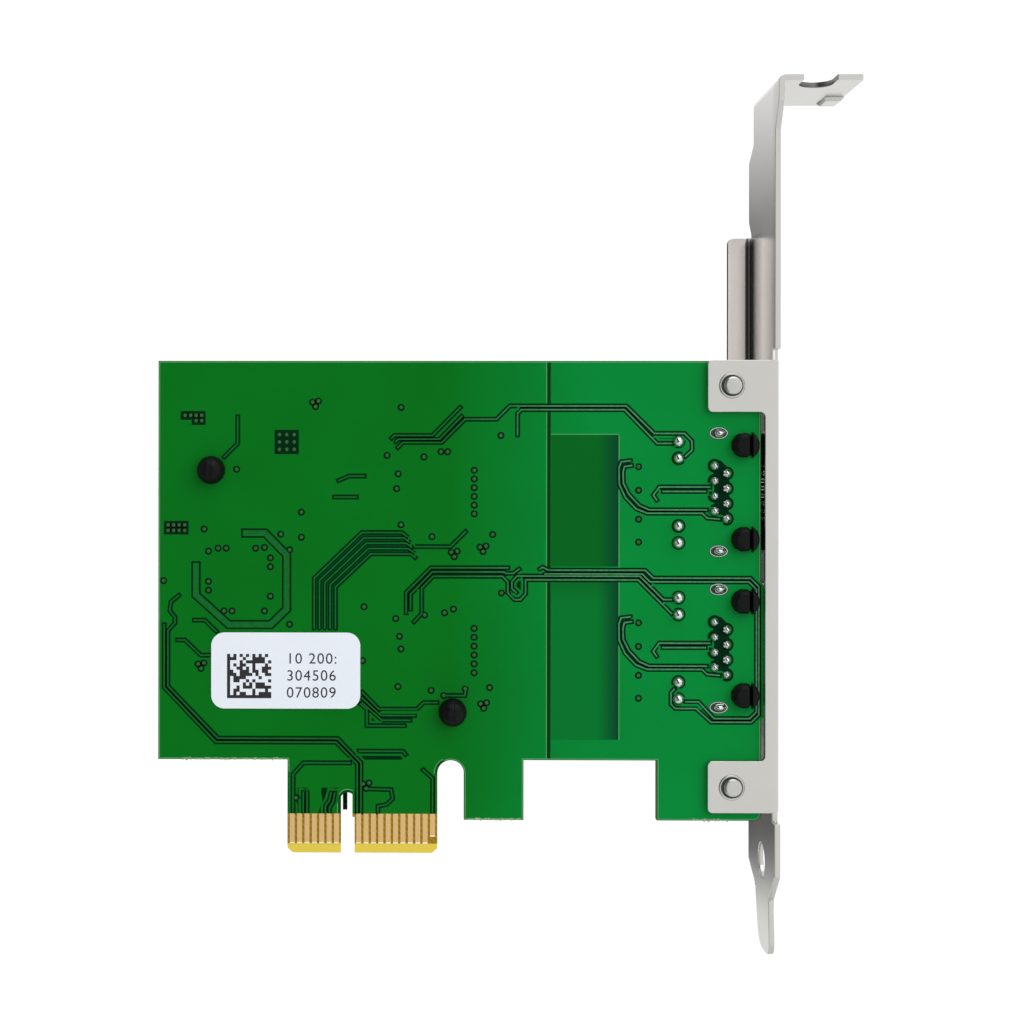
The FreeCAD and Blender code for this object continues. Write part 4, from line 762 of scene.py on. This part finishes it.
# A dark finish that is painted shade, for the hollows of the tail slots and the screws' grooves.
hollow = varied_finish("painted_recess_shade", (8, 22, 16), (46, 70, 58), (0.3, 0.5), 0.5, 0.01, 0.3)
vertices, faces, slots = [], [], []
for middle, size in tails:
    more_vertices, more_faces, more_slots = heaped_slot(middle, size)
    faces += [tuple(corner + len(vertices) for corner in face) for face in more_faces]
    vertices += more_vertices
    slots += more_slots
tail_joints = new_piece("shield_tail_joints", vertices, faces, solder, hollow, slots=slots)
tail_joints.data.shade_smooth()
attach(tail_joints, "root")


# ---- Bracket ----
# One sheet of 0.8 mm steel, punched and folded, then satin nickel plated: the punch leaves
# every edge a little rounded, and those edges catch the light.
nickel = varied_finish("satin_nickel", (194, 193, 189), (209, 208, 203), (0.19, 0.27), 0.12, 0.001, 1.0, 12)


def paint_inside_light_and_shade(finish):
    """Painted light and painted shade on the plate's inner side: lighter high up, and darker where the
    sheet folds behind the wing.
    """
    tree = finish.node_tree
    tint = tree.nodes["Principled BSDF"].inputs["Base Color"]
    place = add_node(tree, "ShaderNodeTexCoord").outputs["Object"]
    x, y, z = add_node(tree, "ShaderNodeSeparateXYZ", {0: place}).outputs
    inside = maths(tree, "MULTIPLY", maths(tree, "LESS_THAN", x, plate_out - 0.4 * mm),
                   ramp(tree, y, -1.5 * mm, 0.5 * mm))
    # Painted light: the inner side is lightened above the board's top, half as much above the wing.
    upper = maths(tree, "MULTIPLY", inside, ramp(tree, z, 66 * mm, 67 * mm))
    upper = maths(tree, "MULTIPLY", upper, spread(tree, ramp(tree, z, 84 * mm, 87 * mm), 1.0, 0.5))
    bright = mixed(tree, upper, tint.links[0].from_socket, srgb(246, 243, 240))
    # Painted shade: darker towards where the sheet folds behind the wing, below the wing's top.
    painted_fold_shade = maths(tree, "MULTIPLY", ramp(tree, y, 6.5 * mm, 14 * mm), ramp(tree, z, 85.5 * mm, 84.7 * mm))
    tree.links.new(mixed(tree, maths(tree, "MULTIPLY", upper, painted_fold_shade), bright, srgb(92, 88, 86)), tint)


plate_out = 58.3 * mm
paint_inside_light_and_shade(nickel)
# A paler, less metallic copy of the same nickel plating, for the wing's face: painted light that makes it
# read brighter.
painted_light_nickel = varied_finish("painted_light_wing_nickel", (240, 232, 228), (250, 243, 239), (0.1, 0.16), 0.5, 0.0008,
                          0.8, 6)
cut_steel = varied_finish("cut_steel", (92, 90, 88), (150, 148, 144), (0.3, 0.45), 0.1, 0.003, 1.0, 1.5)


def rounded_copy(node, finish, width, segments=2, angle=30, rework=None):
    """A CAD piece merged and smoothed, with its sharp edges rounded to this width."""
    work = bmesh.new()
    work.from_mesh(cad[node].data)
    bmesh.ops.remove_doubles(work, verts=work.verts, dist=0.001 * mm)
    bmesh.ops.dissolve_limit(work, angle_limit=math.radians(1), verts=work.verts, edges=work.edges)
    if rework:
        rework(work)
    mesh = bpy.data.meshes.new("finished_" + node)
    work.to_mesh(mesh)
    work.free()
    mesh.materials.clear()
    mesh.materials.append(finish)
    piece = bpy.data.objects.new("finished_" + node, mesh)
    bpy.context.scene.collection.objects.link(piece)
    mesh.shade_smooth()
    bevel = piece.modifiers.new("rounding", "BEVEL")
    bevel.width = width
    bevel.segments = segments
    bevel.limit_method = "ANGLE"
    bevel.angle_limit = math.radians(angle)
    bevel.use_clamp_overlap = False
    weighted = piece.modifiers.new("normals", "WEIGHTED_NORMAL")
    weighted.keep_sharp = True
    made_plain(piece)
    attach(piece, "root")
    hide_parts(node)
    return piece


sheet = 0.8 * mm
tongue_crease = -7.0 * mm
tongue_lean = math.tan(math.radians(2.6))
bend_reach = 4.5 * mm
bend_step = 0.4 * mm


def ease_tongue(work):
    """Turn the crease where the tongue leans outward into one soft curve."""
    for i in range(24):
        level = tongue_crease + bend_reach - i * bend_step
        parts = work.verts[:] + work.edges[:] + work.faces[:]
        bmesh.ops.bisect_plane(work, geom=parts, plane_co=(0, 0, level), plane_no=(0, 0, 1),
                               dist=0.001 * mm)
    for vert in work.verts:
        drop = tongue_crease - vert.co.z
        if drop < -bend_reach or vert.co.x > plate_out + 0.05 * mm:
            continue
        lean = tongue_lean * (drop if drop > bend_reach else (drop + bend_reach) ** 2 / (4 * bend_reach))
        straight = tongue_lean * max(drop, 0)
        inner = vert.co.x - straight < plate_out - sheet / 2
        vert.co.x = (plate_out - sheet if inner else plate_out) + lean
    bmesh.ops.remove_doubles(work, verts=work.verts, dist=0.01 * mm)


bracket_low, bracket_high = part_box("bracket")
notch_span = (60 * mm, 66.5 * mm)
wing_depth = 15 * mm
wing_end = 55.4 * mm
bracket = rounded_copy("bracket", nickel, 0.1 * mm, 3, rework=ease_tongue)
bracket.data.materials.append(cut_steel)
bracket.data.materials.append(painted_light_nickel)
for face in bracket.data.polygons:
    middle = face.center
    on_flange = middle.z > bracket_high.z - 0.95 * mm and notch_span[0] < middle.x < notch_span[1]
    if on_flange and abs(face.normal.z) < 0.4 and middle.y > bracket_low.y + 0.2 * mm:
        face.material_index = 1
    # The wing's face takes the painted-light copy of the nickel.
    if middle.y > wing_depth and middle.x < wing_end and face.normal.y < -0.9:
        face.material_index = 2

# The screws' threaded ends come through the tabs, each in a collar that the tap raised.
zinc = varied_finish("zinc_plate", (176, 176, 172), (214, 214, 210), (0.22, 0.36), 0.1, 0.003, 1.0, 2)
screw_places = []
for node in ("bracket_screw_upper", "bracket_screw_lower"):
    low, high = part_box(node)
    screw_places.append(((low.x + high.x) / 2, low.y, (low.z + high.z) / 2))
    rounded_copy(node, zinc, 0.06 * mm)
screw_tip = lathe("screw_tip", in_mm([
    (1.72, 0.0, 0), (1.69, 0.08, 0), (1.62, 0.13, 0), (1.52, 0.13, 0), (1.44, 0.06, 0), (1.4, -0.01, 0.02),
    (1.22, 0.01, 0.1), (1.2, 0.14, 0.14), (1.24, 0.19, 0.14), (1.16, 0.3, 0.16), (1.04, 0.38, 0.17),
    (0.86, 0.42, 0.17), (0.0, 0.42, 0.17)]), 40, -1)
repeated("screw_tips", screw_places, screw_tip, zinc, turned=False)
# A dark ring of painted shade lies in the groove round each screw tip.
groove = lathe("screw_groove", in_mm([(1.46, 0.075), (1.42, 0.03), (1.2, 0.04)]), 40, -1)
repeated("screw_grooves", screw_places, groove, hollow, turned=False)


# ---- Jacks ----
# Moulded black nylon inserts in folded, tin-plated shells, with gold spring contacts and two
# lights each. Split pegs hold them to the board from the back.
tin = varied_finish("tin_plate", (196, 196, 194), (222, 222, 220), (0.18, 0.3), 0.2, 0.002, 1.0, 5)
nylon = varied_finish("black_nylon", (6, 7, 7), (14, 15, 15), (0.34, 0.5), 0.06, 0.003, gloss=0.12)
contact_gold = varied_finish("contact_gold", (214, 170, 92), (242, 206, 134), (0.15, 0.28), 0.2, 0.001,
                             1.0, 2)
tinned = varied_finish("tinned_lead", (186, 188, 190), (220, 222, 222), (0.2, 0.38), 0.15, 0.002, 1.0, 2)


def clear_lens(name, colour):
    """Tinted plastic that lets some light through, faintly clouded."""
    material, tree, shader, place = new_finish(name)
    clouded = mixed(tree, noise(tree, place, 0.8 * mm), colour, srgb(225, 228, 220))
    tree.links.new(clouded, shader.inputs["Base Color"])
    shader.inputs["Transmission Weight"].default_value = 0.35
    shader.inputs["Roughness"].default_value = 0.12
    return material


green_lens = clear_lens("green_lens", srgb(46, 150, 74))
amber_lens = clear_lens("amber_lens", srgb(226, 140, 34))
for jack in ("upper", "lower"):
    rounded_copy(f"jack_{jack}_shield", tin, 0.06 * mm)
    rounded_copy(f"jack_{jack}_housing", nylon, 0.05 * mm)
    rounded_copy(f"jack_{jack}_contacts", contact_gold, 0.04 * mm)
    rounded_copy(f"jack_{jack}_light_leads", tinned, 0.04 * mm)
    rounded_copy(f"jack_{jack}_link_light", green_lens, 0.2 * mm, 3)
    rounded_copy(f"jack_{jack}_activity_light", amber_lens, 0.2 * mm, 3)


# ---- Heatsink and its fixings ----
# An extruded aluminium heatsink, clear anodised and sawn to length, held by two sprung nylon
# push pins whose split tips snap through the board.
aluminium = varied_finish("clear_anodised", (188, 190, 192), (212, 214, 216), (0.3, 0.44), 0.1, 0.003,
                          1.0, 10)
steel_wire = varied_finish("spring_wire", (150, 150, 150), (196, 196, 194), (0.2, 0.3), 0.2, 0.002, 1.0, 2)
rounded_copy("heatsink", aluminium, 0.08 * mm)
pin_places = []
for side in ("left", "right"):
    rounded_copy("push_pin_" + side, nylon, 0.12 * mm, 3)
    low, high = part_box("push_pin_" + side)
    pin_places.append(((low.x + high.x) / 2, solder_face, (low.z + high.z) / 2))
    rounded_copy("push_pin_spring_" + side, steel_wire, 0.08 * mm, 2, 60)

# Behind the board the sprung legs of each pin close to one round nose.
nose = lathe("pin_nose", in_mm([
    (1.8, 0.0), (1.88, 0.25), (1.9, 0.6), (1.86, 1.0), (1.74, 1.45), (1.52, 1.85), (1.22, 2.18),
    (0.85, 2.42), (0.45, 2.55)]) + [(0.0, solder_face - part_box("push_pin_left")[0].y)], 40, -1)
repeated("pin_noses", pin_places, nose, nylon, turned=False)


# ---- Chips and small parts ----
# Moulded epoxy packages with tinned leads, drawn crystal cans, ferrite and tantalum blocks and
# fired ceramic chips with tinned ends, all soldered flat to the component face.
epoxy = varied_finish("moulded_epoxy", (22, 22, 24), (38, 38, 41), (0.5, 0.7), 0.05, 0.006)
soft_pad = varied_finish("thermal_pad", (120, 134, 150), (150, 162, 176), (0.7, 0.85), 0.3, 0.01)
can = varied_finish("crystal_can", (196, 194, 190), (224, 222, 218), (0.2, 0.34), 0.15, 0.002, 1.0, 3)
ferrite = varied_finish("ferrite", (52, 52, 54), (78, 78, 80), (0.6, 0.8), 0.12, 0.01)
tantalum = varied_finish("tantalum_case", (206, 148, 34), (226, 172, 58), (0.35, 0.5), 0.1, 0.003)
fired = varied_finish("fired_ceramic", (132, 104, 76), (164, 134, 100), (0.45, 0.6), 0.08, 0.003)
glaze = varied_finish("resistor_glaze", (16, 16, 18), (34, 34, 36), (0.25, 0.4), 0.1, 0.002)
finishes = {
    "package": (epoxy, ["pcie_switch_chip", "ethernet_controller_upper_chip",
                        "ethernet_controller_lower_chip", "transformer_upper", "transformer_lower",
                        "memory_chips", "voltage_regulators"]),
    "thermal_pad": (soft_pad, ["pcie_switch_thermal_pad", "ethernet_controller_upper_thermal_pad",
                               "ethernet_controller_lower_thermal_pad"]),
    "leads": (tinned, ["transformer_upper_leads", "transformer_lower_leads", "memory_chip_leads"]),
    "crystal_can": (can, ["crystals"]),
    "ferrite": (ferrite, ["power_inductors"]),
    "tantalum": (tantalum, ["tantalum_capacitors"]),
    "capacitor": (fired, ["ceramic_capacitors"]),
    "resistor": (glaze, ["chip_resistors"]),
}
for slot, (finish, nodes) in finishes.items():
    for node in nodes:
        rounded_copy(node, finish, 0.05 * mm)


# Small parts end in dipped, tinned caps, which the solder wets.
def end_caps(name, nodes, share, proud):
    """Caps over both ends of every small part, a little proud of its body."""
    vertices, faces = [], []
    for node in nodes:
        for low, high in island_boxes(cad[node]):
            size = high - low
            axis = 0 if size[0] > size[2] else 2
            for end in (0, 1):
                near, far = low - proud, high + proud
                near[1] = low[1]
                reach = size[axis] * share
                if end:
                    near[axis] = high[axis] - reach
                else:
                    far[axis] = low[axis] + reach
                start = len(vertices)
                vertices += [(x, y, z) for x in (near[0], far[0]) for y in (near[1], far[1])
                             for z in (near[2], far[2])]
                faces += [tuple(start + corner for corner in face) for face in (
                    (0, 1, 3, 2), (4, 6, 7, 5), (0, 4, 5, 1), (2, 3, 7, 6), (0, 2, 6, 4), (1, 5, 7, 3))]
    piece = new_piece(name, vertices, faces, tinned)
    bevel = piece.modifiers.new("rounding", "BEVEL")
    bevel.width = 0.06 * mm
    bevel.segments = 2
    made_plain(piece)
    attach(piece, "root")


cap_share = 0.24
cap_proud = 0.02 * mm
end_caps("small_part_caps", ["ceramic_capacitors", "chip_resistors"], cap_share, cap_proud)

# White ink frames each part's place on the component side.
frame_ink = varied_finish("frame_ink", (206, 212, 206), (236, 240, 236), (0.5, 0.7), 0.1, 0.002)
ink_width = 0.16 * mm
ink_gap = 0.35 * mm


def ink_frames(name, nodes):
    """A thin printed frame round each separate part of these nodes."""
    vertices, faces = [], []
    for node in nodes:
        for low, high in island_boxes(cad[node]):
            start = len(vertices)
            for gap in (ink_gap, ink_gap + ink_width):
                left, right = low[0] - gap, high[0] + gap
                foot, top = low[2] - gap, high[2] + gap
                vertices += [(x, component_face + lift, z) for x, z in (
                    (left, foot), (right, foot), (right, top), (left, top))]
            for i in range(4):
                j = (i + 1) % 4
                faces.append((start + i, start + j, start + 4 + j, start + 4 + i))
    piece = new_piece(name, vertices, faces, frame_ink)
    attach(piece, "root")


ink_frames("part_frames", [
    "transformer_upper", "transformer_lower", "memory_chips", "crystals", "voltage_regulators",
    "power_inductors", "tantalum_capacitors", "ceramic_capacitors", "chip_resistors"])


# ---- Copper tracks of the component side ----
# Fine etched tracks under the mask run from each jack to its transformer, on under the
# heatsink, and from the edge contacts up to the switch chip.
def ribbons(name, paths, width, height, finish):
    """Flat ribbons of one width along paths of (x, z) points on the component side."""
    vertices, faces = [], []
    for path in paths:
        points = np.array(path) * mm
        ahead = np.diff(points, axis=0)
        ahead /= np.linalg.norm(ahead, axis=1)[:, None]
        normal = np.stack([-ahead[:, 1], ahead[:, 0]], axis=1)
        first = np.vstack([normal[:1], normal])
        second = np.vstack([normal, normal[-1:]])
        side = (first + second) / (1 + np.sum(first * second, axis=1))[:, None]
        for point, step in zip(points, side * width / 2):
            for end in (point + step, point - step):
                vertices.append((end[0], component_face + height, end[1]))
        start = len(vertices) - 2 * len(points)
        for i in range(len(points) - 1):
            a = start + 2 * i
            faces.append((a, a + 2, a + 3, a + 1))
    piece = new_piece(name, vertices, faces, finish)
    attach(piece, "root")


component_paths = []
for middle in jack_middles:
    for i in range(8):
        z = middle + (i - 3.5) * 1.2
        jack_end, sink_end = z + 0.25 * (3.5 - i), z + 0.3 * (3.5 - i)
        component_paths.append([(39.2, z), (40.4, z), (41.2, jack_end), (43.4, jack_end)])
        component_paths.append([(26.8, z), (25.6, z), (24.9, sink_end), (22.0, sink_end)])
for i in range(5):
    x = -6.0 + 3.2 * i
    component_paths.append([(x, 12.0), (x, 9.4), (x - 0.8, 8.6), (x - 0.8, 5.6)])
ribbons("component_track_gaps", component_paths, 0.62 * mm, 0.5 * lift, channel_dark)
ribbons("component_tracks", component_paths, 0.24 * mm, 1.5 * lift, track_mask)


# ---- Studio ----
# A pale floor well below the card, a white surround whose left half reflects dark, and soft
# lights from above and from the bracket's side.
pale = varied_finish("pale_floor", (238, 238, 238), (244, 244, 244), (0.8, 0.9), 20, 0.01)
floor_half = 0.3
floor_z = -0.25
floor = new_piece("floor", [(x * floor_half, y * floor_half, floor_z) for x, y in (
    (-1, -1), (1, -1), (1, 1), (-1, 1))], [(0, 1, 2, 3)], pale)

world = bpy.data.worlds.new("white_studio")
bpy.context.scene.world = world
world.use_nodes = True
sky = world.node_tree
direction = add_node(sky, "ShaderNodeTexCoord").outputs["Generated"]
east, depth, up = add_node(sky, "ShaderNodeSeparateXYZ", {0: direction}).outputs


def glow(stops):
    """How bright the surround is from left to right, through (east, brightness) stops."""
    share = maths(sky, "MULTIPLY_ADD", east, 0.5, 0.5)
    band = add_node(sky, "ShaderNodeValToRGB", {0: share})
    while len(band.color_ramp.elements) < len(stops):
        band.color_ramp.elements.new(0.5)
    for element, (place, level) in zip(band.color_ramp.elements, stops):
        element.position = (place + 1) / 2
        element.color = (level, level, level, 1)
    return band.outputs[0]


front_glow = glow([(-1.0, 0.45), (-0.85, 0.35), (-0.72, 0.04), (-0.36, 0.04), (-0.2, 1.0)])
back_glow = glow([(-1.0, 0.7), (-0.45, 0.6), (-0.32, 0.04), (-0.05, 0.03), (0.1, 1.0)])
overhead = ramp(sky, up, 0.11, 0.215)
from_floor = ramp(sky, up, -0.215, -0.262)
back_glow = maths(sky, "MAXIMUM", back_glow, maths(sky, "MAXIMUM", overhead, from_floor))
front_side = ramp(sky, depth, 0.1, -0.1)
reflected = add_node(sky, "ShaderNodeMix", {0: front_side, 2: back_glow, 3: front_glow}).outputs[0]
ambient = add_node(sky, "ShaderNodeMapRange", {0: east, 1: -1.0, 2: 1.0, 3: 0.5, 4: 0.72}).outputs[0]
ray = add_node(sky, "ShaderNodeLightPath").outputs
strength = add_node(sky, "ShaderNodeMix", {0: ray["Is Diffuse Ray"], 2: reflected, 3: ambient}).outputs[0]
strength = add_node(sky, "ShaderNodeMix", {0: ray["Is Camera Ray"], 2: strength, 3: 1.05}).outputs[0]
background = sky.nodes["Background"]
background.inputs["Color"].default_value = (1, 1, 1, 1)
sky.links.new(strength, background.inputs["Strength"])


def soft_light(name, place, aim, size, power, mirrored=True):
    """A square soft light turned towards a point; metal mirrors it unless told not to."""
    lamp = bpy.data.lights.new(name, "AREA")
    lamp.size = size
    lamp.energy = power
    light = bpy.data.objects.new(name, lamp)
    light.location = place
    light.rotation_euler = (Vector(aim) - Vector(place)).to_track_quat("-Z", "Y").to_euler()
    light.visible_glossy = mirrored
    bpy.context.scene.collection.objects.link(light)


card_middle = (15 * mm, 0.0, 45 * mm)
soft_light("light_above", (0.1, -0.25, 0.6), card_middle, 0.5, 1.0)
soft_light("light_right", (0.5, -0.4, 0.3), card_middle, 0.6, 2.5, mirrored=False)


# ---- Camera ----
# Level with the upper part of the board and square on to its solder side, close enough that
# the bracket's plate and wing show behind their lip.
camera_data = bpy.data.cameras.new("camera")
camera_data.sensor_width = 36.0
camera_data.lens = 60.51
camera_data.shift_x = 0.1131
camera_data.shift_y = -0.0531
camera_data.clip_start = 0.01
camera = bpy.data.objects.new("camera", camera_data)
camera.location = (9.55 * mm, solder_face - 233 * mm, 53.6 * mm)
camera.rotation_euler = (math.radians(90), math.radians(-0.05), math.radians(0.74))
bpy.context.scene.collection.objects.link(camera)
bpy.context.scene.camera = camera
bpy.context.scene.view_settings.view_transform = "Standard"
